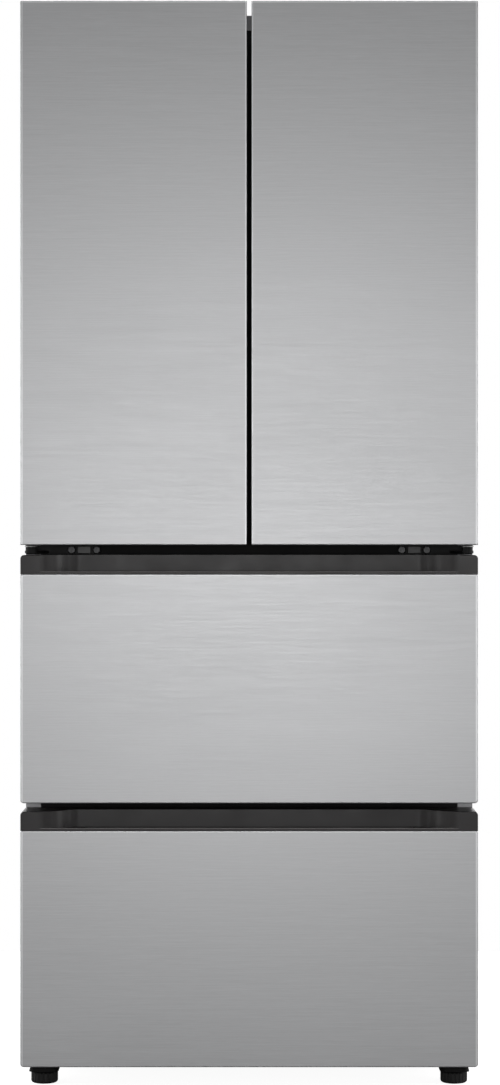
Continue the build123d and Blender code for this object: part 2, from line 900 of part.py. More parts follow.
# Rear cover of the machine room, with rows of air slots and a hole for the cord gland
gland_x = inner_half - gland_inset
with BuildPart() as rear_cover:
    with BuildSketch(upright(panel_y)):
        span((-inner_half, inner_half), (pan_top, machine_top))
        with Locations((0, machine_mid_z)):
            with GridLocations(cover_slot_pitch_x, cover_slot_pitch_z, cover_slot_columns, cover_slot_rows):
                Rectangle(cover_slot_length, cover_slot_height, mode=Mode.SUBTRACT)
        with Locations((gland_x, gland_height)):
            Circle(gland_radius, mode=Mode.SUBTRACT)
    extrude(amount=case_sheet)
save(rear_cover, "rear_cover")

with BuildPart() as cord_gland:
    with BuildSketch(upright(panel_y - gland_tail)):
        with Locations((gland_x, gland_height)):
            Circle(gland_radius)
    extrude(amount=-gland_tail - gland_flange - gland_sleeve)
    with BuildSketch(upright(panel_y)):
        with Locations((gland_x, gland_height)):
            Circle(gland_flange_radius)
    extrude(amount=-gland_flange)
    with BuildSketch(upright(panel_y - gland_tail)):
        with Locations((gland_x, gland_height)):
            Circle(gland_bore)
    extrude(amount=-gland_tail - gland_flange - gland_sleeve, mode=Mode.SUBTRACT)
save(cord_gland, "cord_gland")


# Levelling feet: a grooved wheel with a hub, and a stud that runs up through the bracket above it
foot_bracket_bottom = foot_height + foot_gap
with BuildPart() as foot_brackets:
    with BuildSketch(level(case_bottom)):
        with Locations((foot_x, foot_y), (-foot_x, foot_y)):
            RectangleRounded(foot_bracket_width, foot_bracket_depth, foot_bracket_radius)
    extrude(amount=foot_bracket_bottom - case_bottom, taper=-foot_bracket_taper)
    with BuildSketch(level(foot_bracket_bottom)):
        with Locations((foot_x, foot_y), (-foot_x, foot_y)):
            Circle(stud_radius + stud_clearance)
    extrude(amount=case_bottom - foot_bracket_bottom, mode=Mode.SUBTRACT)
save(foot_brackets, "foot_brackets")

for name, side in sides.items():
    foot_place = Vector(side * foot_x, foot_y, 0)
    with BuildPart() as foot:
        with BuildSketch(Plane(foot_place, (1, 0, 0), (0, -1, 0))):
            with BuildLine():
                Polyline(
                    (0, 0),
                    (foot_radius - foot_round, 0),
                )
                RadiusArc((foot_radius - foot_round, 0), (foot_radius, foot_round), -foot_round)
                Polyline(
                    (foot_radius, foot_round),
                    (foot_radius, foot_height - foot_chamfer),
                    (foot_radius - foot_chamfer, foot_height),
                    (foot_hub_radius, foot_height),
                    (foot_hub_radius, foot_bracket_bottom - foot_seat_gap),
                    (stud_radius, foot_bracket_bottom - foot_seat_gap),
                    (stud_radius, stud_top),
                    (0, stud_top),
                    (0, 0),
                )
            make_face()
        revolve(axis=Axis(foot_place, (0, 0, 1)))
        with BuildSketch(Plane(foot_place)):
            with PolarLocations(foot_radius + foot_groove_radius / 4, foot_grooves):
                Circle(foot_groove_radius)
        extrude(amount=foot_height, mode=Mode.SUBTRACT)
    save(foot, f"front_foot_{name}")


# Rear rollers on axles that are riveted into the ears of the base pan
axle_half = ear_offset + ear_sheet
with BuildPart() as roller_axles:
    for side in sides.values():
        for radius, reach in ((axle_radius, axle_half), (axle_head_radius, axle_half + axle_head)):
            with BuildSketch(lengthwise(side * roller_x - reach)):
                with Locations((roller_y, roller_radius)):
                    Circle(radius)
            extrude(amount=reach + reach)
        with BuildSketch(lengthwise(side * roller_x - axle_half)):
            with Locations((roller_y, roller_radius)):
                Circle(axle_head_radius)
                Circle(axle_radius, mode=Mode.SUBTRACT)
        extrude(amount=2 * axle_half, mode=Mode.SUBTRACT)
save(roller_axles, "roller_axles")

for name, side in sides.items():
    with BuildPart() as roller:
        with BuildSketch(lengthwise(side * roller_x - roller_width / 2)):
            with Locations((roller_y, roller_radius)):
                Circle(roller_radius)
        extrude(amount=roller_width)
        chamfer(roller.edges(), roller_chamfer)
        with BuildSketch(lengthwise(side * roller_x - roller_width / 2)):
            with Locations((roller_y, roller_radius)):
                Circle(axle_radius + axle_clearance)
        extrude(amount=roller_width, mode=Mode.SUBTRACT)
    save(roller, f"rear_roller_{name}")


# Telescopic rails. Each is a channel: a web, and two flanges that run from it to the tip.
def channel(side, web, tip, centre, half_height):
    inner = web + math.copysign(rail_sheet, tip - web)
    up = (centre - half_height, centre + half_height)
    span(sideways(side, min(web, tip), max(web, tip)), up)
    span(sideways(side, min(inner, tip), max(inner, tip)), inset(up, rail_sheet), mode=Mode.SUBTRACT)


slide_web = tub_half - rail_sheet - rail_web_gap
slide_tip = tub_half - rail_depth - rail_tip_step
slide_half = rail_height / 2 - rail_sheet - rail_gap
member_web = slide_tip - rail_sheet
member_tip = slide_web - rail_sheet - rail_web_gap
member_half = slide_half - rail_sheet - rail_gap

rail_back = tub_back - rail_back_gap
with BuildPart() as fixed_rails:
    for ceiling in (lower_ceiling, middle_ceiling):
        for side in sides.values():
            with BuildSketch(upright(rail_back)):
                channel(side, tub_half, tub_half - rail_depth, ceiling - rail_drop, rail_height / 2)
            extrude(amount=rail_back - case_y - rail_setback)
save(fixed_rails, "fixed_rails")


# Racks on the tub walls under the fixed rails. A gap between two teeth lies right below the resting pinion.
def gear_tooth(root, tip_flank, root_flank, rotation=0):
    """One tooth. It points up from its pitch line and is drawn down to its root."""
    half_tooth = (gear_pitch / 2 - gear_backlash) / 2
    tip_half = half_tooth - tip_flank * gear_tip
    root_half = half_tooth + root_flank * root
    Polygon(
        (root_half, -root),
        (half_tooth, 0),
        (tip_half, gear_tip),
        (-tip_half, gear_tip),
        (-half_tooth, 0),
        (-root_half, -root),
        rotation=rotation,
        align=None,
    )


with BuildPart() as gear_racks:
    for ceiling in (lower_ceiling, middle_ceiling):
        pitch_line = ceiling - rail_drop - gear_drop - gear_radius
        for side in sides.values():
            with BuildSketch(lengthwise(sideways(side, tub_half - rack_width, tub_half)[0])):
                span(
                    (rack_front, rack_back),
                    (pitch_line - gear_root - rack_base, pitch_line - gear_root),
                )
                with Locations(((rack_front + rack_back) / 2, pitch_line)):
                    with GridLocations(gear_pitch, 0, rack_teeth, 1):
                        gear_tooth(gear_root, rack_flank, rack_flank)
            extrude(amount=rack_width)
save(gear_racks, "gear_racks")


# Doors, left and right
def door(name, side):
    across = sideways(side, door_edge, front_half)
    up = (door_bottom, door_top)
    between_caps = inset(up, cap_height)
    pin_place = (side * pin_x, pin_y)

    # The steel skin wraps round the front and both sides, and folds over just a little at the caps
    with BuildPart() as panel:
        with BuildSketch(upright(skin_y)):
            span(across, up, door_corner_radius)
        extrude(amount=skin_depth)
        fillet(panel.faces().sort_by(Axis.Y)[0].edges(), skin_edge_radius)
        with BuildSketch(upright(skin_y)):
            span(inset(across, skin), inset(up, skin), door_corner_radius - skin)
        extrude(amount=skin_depth - skin, mode=Mode.SUBTRACT)
        with BuildSketch(upright(skin_y)):
            span(across, up)
            span(across, between_caps, mode=Mode.SUBTRACT)
        extrude(amount=skin_depth - skin_fold, mode=Mode.SUBTRACT)
    save(panel, f"{name}_door_panel")

    # Foam bonded to the inner lining, with the raised dyke that holds the bins
    dyke_across = sideways(side, centre_wall / 2 + dyke_free_inset, tub_half - dyke_inset)
    dyke_up = inset(upper_up, dyke_inset)
    with BuildPart() as core:
        with BuildSketch(upright(core_y)):
            span(across, between_caps)
        extrude(amount=core_y - skin_y)
        with BuildSketch(upright(skin_y)):
            span(inset(across, skin), between_caps)
        extrude(amount=skin_depth - skin)
        with BuildSketch(upright(front_y + skin_fold)):
            span(inset(across, skin), inset(up, skin), door_corner_radius - skin)
        extrude(amount=skin_fold - skin)
        with BuildSketch(upright(case_y + dyke_reach)):
            span(dyke_across, dyke_up, dyke_radius)
            span(inset(dyke_across, dyke_width), inset(dyke_up, dyke_width), mode=Mode.SUBTRACT)
        extrude(amount=seal_gap + dyke_reach)
    save(core, f"{name}_door_core")

    # End caps: the bottom one has the finger pocket, and each has a bore for its hinge pin
    pocket_near = door_edge + finger_pocket_inset
    pocket_front = front_y + finger_pocket_setback
    with BuildPart() as caps:
        with BuildSketch(level(door_bottom)):
            span(across, (front_y + skin_fold, core_y))
        extrude(amount=cap_height)
        with BuildSketch(level(door_bottom)):
            span(
                sideways(side, pocket_near, pocket_near + finger_pocket_length),
                (pocket_front, pocket_front + finger_pocket_width),
                finger_pocket_radius,
            )
        extrude(amount=finger_pocket_depth, mode=Mode.SUBTRACT)
        with BuildSketch(level(door_bottom)):
            with Locations(pin_place):
                Circle(pin_radius + pin_clearance)
        extrude(amount=cap_height - pin_end_wall / 2, mode=Mode.SUBTRACT)
        with BuildSketch(level(door_top)):
            span(across, (front_y + skin_fold, core_y))
            span(
                sideways(side, pin_x - hinge_pocket_side, front_half),
                (front_y + skin_fold, core_y),
                mode=Mode.SUBTRACT,
            )
        extrude(amount=-hinge_pocket_depth)
        with BuildSketch(level(hinge_floor)):
            span(across, (front_y + skin_fold, core_y))
            with Locations(pin_place):
                Circle(pin_radius + pin_clearance, mode=Mode.SUBTRACT)
        extrude(amount=door_top - cap_height + pin_end_wall / 2 - hinge_floor)
        with BuildSketch(level(door_top - cap_height)):
            span(across, (front_y + skin_fold, core_y))
        extrude(amount=pin_end_wall / 2)
    save(caps, f"{name}_door_caps")

    with BuildPart() as gasket:
        with BuildSketch(upright(case_y - gasket_rest_gap)):
            span(inset(across, gasket_inset), inset(up, gasket_inset))
            span(
                inset(across, gasket_inset + gasket_width),
                inset(up, gasket_inset + gasket_width),
                mode=Mode.SUBTRACT,
            )
        extrude(amount=seal_gap - gasket_rest_gap)
        chamfer(gasket.faces().sort_by(Axis.Y)[-1].edges(), gasket_edge)
    save(gasket, f"{name}_door_gasket")

    # Bins between the sides of the dyke
    bin_across = inset(dyke_across, dyke_width)
    with BuildPart() as bins:
        for place in range(bin_count):
            bin_floor = dyke_up[0] + dyke_width + bin_first + place * bin_pitch
            with BuildSketch(level(bin_floor)) as outside:
                span(bin_across, (core_y, bin_back))
                fillet(outside.vertices().group_by(Axis.Y)[-1], bin_radius)
            extrude(amount=bin_height)
            with BuildSketch(level(bin_floor + bin_wall)) as inside:
                span(inset(bin_across, bin_wall), (core_y + bin_wall, bin_back - bin_wall))
                fillet(inside.vertices().group_by(Axis.Y)[-1], bin_radius - bin_wall)
            extrude(amount=bin_height - bin_wall, mode=Mode.SUBTRACT)
    save(bins, f"{name}_door_bins")


for name, side in sides.items():
    door(name, side)


# Drawers, middle and lower
def drawer(name, bottom, panel_height, floor, ceiling):
    across = (-front_half, front_half)
    grip_bottom = bottom + panel_height
    top = grip_bottom + grip_height
    rail_centre = ceiling - rail_drop

    # The steel skin has a front, two sides and a bottom; the grip closes it above
    with BuildPart() as panel:
        with BuildSketch(upright(skin_y)) as outline:
            span(across, (bottom, grip_bottom))
            fillet(outline.vertices().group_by(Axis.Y)[0], drawer_corner_radius)
        extrude(amount=skin_depth)
        fillet(panel.faces().sort_by(Axis.Y)[0].edges().sort_by(Axis.Z)[:-1], skin_edge_radius)
        fillet(panel.faces().sort_by(Axis.Y)[0].edges().sort_by(Axis.Z)[-1], skin_top_radius)
        with BuildSketch(upright(skin_y)) as hollow:
            span(inset(across, skin), (bottom + skin, grip_bottom))
            fillet(hollow.vertices().group_by(Axis.Y)[0], drawer_corner_radius - skin)
        extrude(amount=skin_depth - skin, mode=Mode.SUBTRACT)
    save(panel, f"{name}_drawer_panel")

    # Grip moulding: a band across the top whose face bends back in an S at both ends, with a lip along its
    # foot and a finger trough behind the lip
    bend_start = front_half - grip_end_flat
    bend_turn = bend_start - grip_bend_turn
    bend_end = bend_start - grip_end_curve
    grip_y = front_y + grip_depth
    turn_y = front_y + grip_depth * grip_bend_share
    trough = inset((-bend_end, bend_end), grip_trough_inset)
    housing_y = grip_y + grip_wall
    housing_floor = grip_bottom - grip_trough_depth - grip_wall
    with BuildPart() as grip:
        with BuildSketch(upright(core_y)) as band:
            span(across, (grip_bottom, top))
            fillet(band.vertices().group_by(Axis.Y)[-1], grip_corner_radius)
        extrude(amount=front_thickness)
        fillet(grip.faces().sort_by(Axis.Y)[0].edges().sort_by(Axis.Z)[1:], grip_edge_radius)
        with BuildSketch(level(housing_floor)):
            span(inset(trough, -grip_wall), (front_y + skin, housing_y))
        extrude(amount=grip_bottom - housing_floor)
        with BuildSketch(level(grip_bottom + grip_lip_height)):
            with BuildLine():
                left_bend = Spline(
                    (-bend_start, front_y),
                    (-bend_turn, turn_y),
                    (-bend_end, grip_y),
                    tangents=((1, grip_bend_lead), (1, 0)),
                )
                right_bend = Spline(
                    (bend_end, grip_y),
                    (bend_turn, turn_y),
                    (bend_start, front_y),
                    tangents=((1, 0), (1, -grip_bend_lead)),
                )
                Line(left_bend @ 1, right_bend @ 0)
                Polyline(
                    right_bend @ 1,
                    (bend_start, front_y - grip_lip),
                    (-bend_start, front_y - grip_lip),
                    left_bend @ 0,
                )
            make_face()
        extrude(amount=grip_height, mode=Mode.SUBTRACT)
        with BuildSketch(level(grip_bottom - grip_trough_depth)):
            span(trough, (front_y + grip_lip, grip_y), grip_trough_radius)
        extrude(amount=grip_trough_depth + grip_lip_height, mode=Mode.SUBTRACT)
    save(grip, f"{name}_drawer_grip")

    # Foam bonded to the inner lining, cut out for the trough, with a pressed field inside the gasket
    with BuildPart() as core:
        with BuildSketch(upright(core_y)) as rim:
            span(across, (bottom, grip_bottom))
            fillet(rim.vertices().group_by(Axis.Y)[0], drawer_corner_radius)
        extrude(amount=core_y - skin_y)
        with BuildSketch(upright(skin_y)) as filling:
            span(inset(across, skin), (bottom + skin, grip_bottom))
            fillet(filling.vertices().group_by(Axis.Y)[0], drawer_corner_radius - skin)
        extrude(amount=skin_depth - skin)
        with BuildSketch(level(housing_floor)):
            span(inset(trough, -grip_wall), (front_y + skin, housing_y))
        extrude(amount=grip_bottom - housing_floor, mode=Mode.SUBTRACT)
        with BuildSketch(upright(core_y + inner_pad)):
            span(
                (-inner_pad_half, inner_pad_half),
                inset((bottom, grip_bottom), inner_pad_margin),
                inner_pad_radius,
            )
        extrude(amount=inner_pad)
    save(core, f"{name}_drawer_core")

    with BuildPart() as gasket:
        with BuildSketch(upright(case_y - gasket_rest_gap)):
            span(inset(across, gasket_inset), inset((bottom, top), gasket_inset))
            span(
                inset(across, gasket_inset + gasket_width),
                inset((bottom, top), gasket_inset + gasket_width),
                mode=Mode.SUBTRACT,
            )
        extrude(amount=seal_gap - gasket_rest_gap)
        chamfer(gasket.faces().sort_by(Axis.Y)[-1].edges(), gasket_edge)
    save(gasket, f"{name}_drawer_gasket")

    # Intermediate rail members, between the fixed ones and the drawer's
    with BuildPart() as slide_rails:
        for side in sides.values():
            with BuildSketch(upright(case_y + rail_slide_setback + member_length)):
                channel(side, slide_web, slide_tip, rail_centre, slide_half)
            extrude(amount=member_length)
    save(slide_rails, f"{name}_slide_rails")

    # Drawer rail members on arms that are screwed to the core by a foot at the front. A lug at the back of
    # each arm carries the gear shaft.
    rim_z = rail_centre + arm_rise
    gear_z = rail_centre - gear_drop
    arm_back = basket_along[1]
    with BuildPart() as arms:
        for side in sides.values():
            arm_across = sideways(side, member_web - arm_sheet, member_web)
            with BuildSketch(upright(arm_back)):
                channel(side, member_web, member_tip, rail_centre, member_half)
                span(arm_across, (rail_centre - member_half, rim_z))
            extrude(amount=member_length)
            with BuildSketch(upright(core_y + arm_sheet)):
                span(sideways(side, member_web - arm_foot, member_web), (rail_centre - member_half, rim_z))
            extrude(amount=arm_sheet)
            with BuildSketch(lengthwise(arm_across[0])):
                span((arm_back - gear_lug_reach, arm_back), (rail_centre - member_half, rail_centre))
                with Locations((gear_y, gear_z)):
                    Circle(gear_lug_radius)
                make_hull()
                with Locations((gear_y, gear_z)):
                    Circle(gear_shaft_radius + gear_shaft_clearance, mode=Mode.SUBTRACT)
            extrude(amount=arm_sheet)
    save(arms, f"{name}_drawer_arms")

    # Gear shaft, with a pinion outside each lug. One tooth of each pinion points straight down.
    pinion_near = member_web + gear_side_gap
    pinion_far = tub_half - gear_wall_gap
    with BuildPart() as gear_shaft:
        with BuildSketch(lengthwise(-pinion_far)):
            with Locations((gear_y, gear_z)):
                Circle(gear_shaft_radius)
        extrude(amount=2 * pinion_far)
        for side in sides.values():
            with BuildSketch(lengthwise(sideways(side, pinion_near, pinion_far)[0])):
                with Locations((gear_y, gear_z)):
                    Circle(gear_radius - gear_root)
                    with PolarLocations(gear_radius, gear_teeth):
                        gear_tooth(gear_root + gear_backlash, pinion_tip_flank, pinion_root_flank, -90)
            extrude(amount=pinion_far - pinion_near)
    save(gear_shaft, f"{name}_gear_shaft")

    # Basket: hangs by its rim on the upper edges of the arms
    basket_half = member_web - arm_sheet - basket_side_gap
    basket_floor = floor + basket_floor_gap
    with BuildPart() as basket:
        with BuildSketch(level(basket_floor)):
            span((-basket_half, basket_half), basket_along, basket_radius)
        extrude(amount=rim_z + basket_rim - basket_floor)
        with BuildSketch(level(rim_z)):
            span((-member_web, member_web), basket_along, basket_radius)
        extrude(amount=basket_rim)
        with BuildSketch(level(basket_floor + basket_wall)):
            span(
                inset((-basket_half, basket_half), basket_wall),
                inset(basket_along, basket_wall),
                basket_radius - basket_wall,
            )
        extrude(amount=rim_z + basket_rim - basket_floor - basket_wall, mode=Mode.SUBTRACT)
    save(basket, f"{name}_drawer_basket")

    # Two lidded boxes stand side by side in the basket
    box_width = basket_half - basket_wall - 2 * box_gap
    box_x = box_gap + box_width / 2
    box_along = inset(basket_along, basket_wall + box_end_gap)
    box_y = (box_along[0] + box_along[1]) / 2
    box_floor = basket_floor + basket_wall
    box_height = rim_z + basket_rim - lid_height - box_floor
    box = kimchi_box(box_width, box_along[1] - box_along[0], box_height)
    with BuildPart() as boxes:
        with Locations((box_x, box_y, box_floor), (-box_x, box_y, box_floor)):
            add(box)
    save(boxes, f"{name}_drawer_boxes")


drawer("middle", middle_front_bottom, middle_panel_height, middle_floor, middle_ceiling)
drawer("lower", lower_front_bottom, lower_panel_height, lower_floor, lower_ceiling)
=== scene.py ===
import bpy, bmesh, json, math
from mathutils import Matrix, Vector


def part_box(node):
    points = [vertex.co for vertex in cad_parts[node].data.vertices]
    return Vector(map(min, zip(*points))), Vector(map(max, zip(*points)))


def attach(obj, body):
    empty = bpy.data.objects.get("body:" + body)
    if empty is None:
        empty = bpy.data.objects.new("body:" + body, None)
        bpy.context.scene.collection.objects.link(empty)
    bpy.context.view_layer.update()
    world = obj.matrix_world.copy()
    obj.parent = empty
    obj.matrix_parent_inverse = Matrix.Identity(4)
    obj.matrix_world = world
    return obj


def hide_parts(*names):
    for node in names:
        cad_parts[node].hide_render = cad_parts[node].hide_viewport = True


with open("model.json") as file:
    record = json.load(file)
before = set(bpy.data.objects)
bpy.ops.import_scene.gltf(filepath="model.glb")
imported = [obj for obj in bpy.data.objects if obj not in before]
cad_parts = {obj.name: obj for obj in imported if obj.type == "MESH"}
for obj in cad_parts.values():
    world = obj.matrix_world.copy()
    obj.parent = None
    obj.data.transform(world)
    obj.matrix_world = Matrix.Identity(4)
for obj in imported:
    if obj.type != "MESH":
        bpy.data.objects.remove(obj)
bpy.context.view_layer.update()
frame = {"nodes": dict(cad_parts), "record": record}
nodes = frame["nodes"]
print("frame loaded:", len(nodes), "nodes")


def newFinish(name, color, roughness, metallic=0.0):
    finish = bpy.data.materials.new(name)
    finish.use_nodes = True
    shader = finish.node_tree.nodes["Principled BSDF"]
    shader.inputs["Base Color"].default_value = (*color, 1.0)
    shader.inputs["Roughness"].default_value = roughness
    shader.inputs["Metallic"].default_value = metallic
    return finish, finish.node_tree, shader


def placeOnObject(tree, scale=(1.0, 1.0, 1.0), turn=(0.0, 0.0, 0.0)):
    coords = tree.nodes.new("ShaderNodeTexCoord")
    mapping = tree.nodes.new("ShaderNodeMapping")
    mapping.inputs["Scale"].default_value = scale
    mapping.inputs["Rotation"].default_value = turn
    tree.links.new(coords.outputs["Object"], mapping.inputs["Vector"])
    return mapping.outputs["Vector"]


def noise(tree, where, scale, detail=3.0, roughness=0.55):
    texture = tree.nodes.new("ShaderNodeTexNoise")
    texture.inputs["Scale"].default_value = scale
    texture.inputs["Detail"].default_value = detail
    texture.inputs["Roughness"].default_value = roughness
    tree.links.new(where, texture.inputs["Vector"])
    return texture.outputs["Fac"]


def spread(tree, value, low, high, start=0.3, end=0.7):
    span = tree.nodes.new("ShaderNodeMapRange")
    span.inputs["From Min"].default_value = start
    span.inputs["From Max"].default_value = end
    span.inputs["To Min"].default_value = low
    span.inputs["To Max"].default_value = high
    tree.links.new(value, span.inputs["Value"])
    return span.outputs["Result"]


def tint(tree, value, dark, light, start=0.3, end=0.7):
    ramp = tree.nodes.new("ShaderNodeValToRGB")
    ramp.color_ramp.elements[0].position = start
    ramp.color_ramp.elements[1].position = end
    ramp.color_ramp.elements[0].color = (*dark, 1.0)
    ramp.color_ramp.elements[1].color = (*light, 1.0)
    tree.links.new(value, ramp.inputs["Fac"])
    return ramp.outputs["Color"]


def arithmetic(tree, operation, first, second):
    step = tree.nodes.new("ShaderNodeMath")
    step.operation = operation
    for socket, value in zip(step.inputs, (first, second)):
        if isinstance(value, (int, float)):
            socket.default_value = value
        else:
            tree.links.new(value, socket)
    return step.outputs[0]


def shared(tree, first, second, share):
    # the first value's share and the rest of the second
    return arithmetic(
        tree, "ADD", arithmetic(tree, "MULTIPLY", first, share), arithmetic(tree, "MULTIPLY", second, 1.0 - share),
    )


def raiseSurface(tree, shader, height, strength, distance):
    bump = tree.nodes.new("ShaderNodeBump")
    bump.inputs["Strength"].default_value = strength
    bump.inputs["Distance"].default_value = distance
    tree.links.new(height, bump.inputs["Height"])
    tree.links.new(bump.outputs["Normal"], shader.inputs["Normal"])


def shades(color, darker, lighter):
    dark = tuple(part * (1.0 - darker) for part in color)
    light = tuple(min(1.0, part * (1.0 + lighter)) for part in color)
    return dark, light


# a painted highlight along a front's edges: its line is full up to lineCore from its middle and gone at lineEnd
frontSteel = {
    "dark": (0.485, 0.488, 0.496), "light": (0.565, 0.569, 0.578), "paintedHighlight": (0.84, 0.845, 0.855),
    "roughness": (0.42, 0.5), "toneRange": (0.38, 0.62),
    "longBrush": (9.0, 9.0, 620.0), "fineBrush": (45.0, 45.0, 2400.0), "clouds": (2.2, 2.2, 3.5),
    "outerLine": 0.0026, "innerLine": 0.0015, "topLine": 0.0012, "doorTopLine": 0.0021,
    "lineCore": 0.0003, "lineEnd": 0.001,
}


def paintedEdgeHighlight(tree, half, top, inner, topLine):
    # mask of the painted highlight: 1 along the sides and the top of a front and, on the doors, along their inner
    # edges, 0 elsewhere
    coords = tree.nodes.new("ShaderNodeTexCoord")
    split = tree.nodes.new("ShaderNodeSeparateXYZ")
    tree.links.new(coords.outputs["Object"], split.inputs["Vector"])
    across = arithmetic(tree, "ABSOLUTE", split.outputs["X"], 0.0)
    places = [(across, half - frontSteel["outerLine"]), (split.outputs["Z"], top - topLine)]
    if inner:
        places.append((across, inner + frontSteel["innerLine"]))
    line = 0.0
    for along, place in places:
        off = arithmetic(tree, "ABSOLUTE", arithmetic(tree, "SUBTRACT", along, place), 0.0)
        near = spread(tree, off, 1.0, 0.0, frontSteel["lineCore"], frontSteel["lineEnd"])
        line = arithmetic(tree, "MAXIMUM", line, near)
    return line


def brushedFrontSteel(name, node, inner=0.0, topLine=frontSteel["topLine"]):
    # the brushing runs along X, so the noise is stretched that way and packed along Z
    finish, tree, shader = newFinish(name, frontSteel["dark"], 0.46, 1.0)
    longLines = noise(tree, placeOnObject(tree, frontSteel["longBrush"]), 1.0, 5.0, 0.65)
    fineLines = noise(tree, placeOnObject(tree, frontSteel["fineBrush"]), 1.0, 2.0, 0.6)
    clouds = noise(tree, placeOnObject(tree, frontSteel["clouds"]), 1.0, 2.0)
    lines = shared(tree, longLines, fineLines, 0.5)
    tone = shared(tree, lines, clouds, 0.8)
    # the base colour is blended to a light colour along the edges: a painted highlight standing in for the rolled
    # edges' shine
    blend = tree.nodes.new("ShaderNodeMix")
    blend.data_type = "RGBA"
    blend.inputs[7].default_value = (*frontSteel["paintedHighlight"], 1.0)
    low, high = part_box(node)
    brushed = tint(tree, tone, frontSteel["dark"], frontSteel["light"], *frontSteel["toneRange"])
    tree.links.new(paintedEdgeHighlight(tree, max(-low[0], high[0]), high[2], inner, topLine), blend.inputs[0])
    tree.links.new(brushed, blend.inputs[6])
    tree.links.new(blend.outputs[2], shader.inputs["Base Color"])
    roughness = spread(tree, tone, *frontSteel["roughness"], *frontSteel["toneRange"])
    tree.links.new(roughness, shader.inputs["Roughness"])
    raiseSurface(tree, shader, lines, 0.35, 0.00006)
    return finish


def mouldedPlastic(name, color, roughness, grain=700.0, depth=0.00004, shade=0.12, coat=0.0, shine=0.5):
    finish, tree, shader = newFinish(name, color, roughness)
    shader.inputs["Specular IOR Level"].default_value = shine
    where = placeOnObject(tree)
    clouds = noise(tree, where, 18.0, 3.0)
    grit = noise(tree, where, grain, 2.0, 0.7)
    tree.links.new(tint(tree, clouds, *shades(color, shade, shade)), shader.inputs["Base Color"])
    tree.links.new(spread(tree, clouds, roughness - 0.05, roughness + 0.05), shader.inputs["Roughness"])
    raiseSurface(tree, shader, grit, 0.5, depth)
    shader.inputs["Coat Weight"].default_value = coat
    shader.inputs["Coat Roughness"].default_value = 0.12
    return finish


def paintedSheet(name, color, roughness, peel=260.0, metallic=0.0, shade=0.07):
    finish, tree, shader = newFinish(name, color, roughness, metallic)
    where = placeOnObject(tree)
    ripples = noise(tree, where, peel, 2.0, 0.5)
    clouds = noise(tree, where, 7.0, 4.0)
    tree.links.new(tint(tree, clouds, *shades(color, shade, shade)), shader.inputs["Base Color"])
    tree.links.new(spread(tree, ripples, roughness - 0.04, roughness + 0.04), shader.inputs["Roughness"])
    raiseSurface(tree, shader, ripples, 0.4, 0.00008)
    return finish


galvanised = {
    "color": (0.5, 0.51, 0.52), "dark": (0.42, 0.43, 0.44), "light": (0.56, 0.57, 0.58),
    "roughness": (0.38, 0.56), "spangleScale": 85.0,
}


def galvanisedSheet():
    finish, tree, shader = newFinish("galvanisedSheet", galvanised["color"], 0.45, 0.85)
    where = placeOnObject(tree)
    spangle = tree.nodes.new("ShaderNodeTexVoronoi")
    spangle.inputs["Scale"].default_value = galvanised["spangleScale"]
    tree.links.new(where, spangle.inputs["Vector"])
    split = tree.nodes.new("ShaderNodeSeparateColor")
    tree.links.new(spangle.outputs["Color"], split.inputs["Color"])
    flakes = tint(tree, split.outputs["Red"], galvanised["dark"], galvanised["light"], 0.0, 1.0)
    tree.links.new(flakes, shader.inputs["Base Color"])
    roughness = spread(tree, split.outputs["Green"], *galvanised["roughness"], 0.0, 1.0)
    tree.links.new(roughness, shader.inputs["Roughness"])
    raiseSurface(tree, shader, noise(tree, where, 40.0, 4.0), 0.2, 0.0002)
    return finish


def drawnMetal(name, color, roughness):
    finish, tree, shader = newFinish(name, color, roughness, 1.0)
    drawn = noise(tree, placeOnObject(tree, (300.0, 20.0, 300.0)), 1.0, 4.0)
    tree.links.new(tint(tree, drawn, *shades(color, 0.15, 0.1)), shader.inputs["Base Color"])
    tree.links.new(spread(tree, drawn, roughness - 0.06, roughness + 0.08), shader.inputs["Roughness"])
    raiseSurface(tree, shader, drawn, 0.25, 0.00005)
    return finish


def clearPlastic(name, color, roughness, transmission, ior):
    finish, tree, shader = newFinish(name, color, roughness)
    where = placeOnObject(tree)
    clouds = noise(tree, where, 30.0, 3.0)
    tree.links.new(spread(tree, clouds, roughness * 0.7, roughness * 1.4), shader.inputs["Roughness"])
    raiseSurface(tree, shader, noise(tree, where, 60.0, 2.0), 0.15, 0.0002)
    shader.inputs["Transmission Weight"].default_value = transmission
    shader.inputs["IOR"].default_value = ior
    return finish


foam = {"color": (0.8, 0.72, 0.48), "dark": (0.74, 0.64, 0.4), "light": (0.84, 0.77, 0.54), "cellScale": 500.0}


def rigidFoam():
    finish, tree, shader = newFinish("rigidFoam", foam["color"], 0.85)
    where = placeOnObject(tree)
    cells = tree.nodes.new("ShaderNodeTexVoronoi")
    cells.inputs["Scale"].default_value = foam["cellScale"]
    tree.links.new(where, cells.inputs["Vector"])
    patches = tint(tree, noise(tree, where, 25.0, 3.0), foam["dark"], foam["light"])
    tree.links.new(patches, shader.inputs["Base Color"])
    raiseSurface(tree, shader, cells.outputs["Distance"], 0.6, 0.0004)
    return finish


gearShaft = {"plasticFrom": 0.2695, "plastic": (0.72, 0.72, 0.7), "steel": (0.52, 0.52, 0.53)}


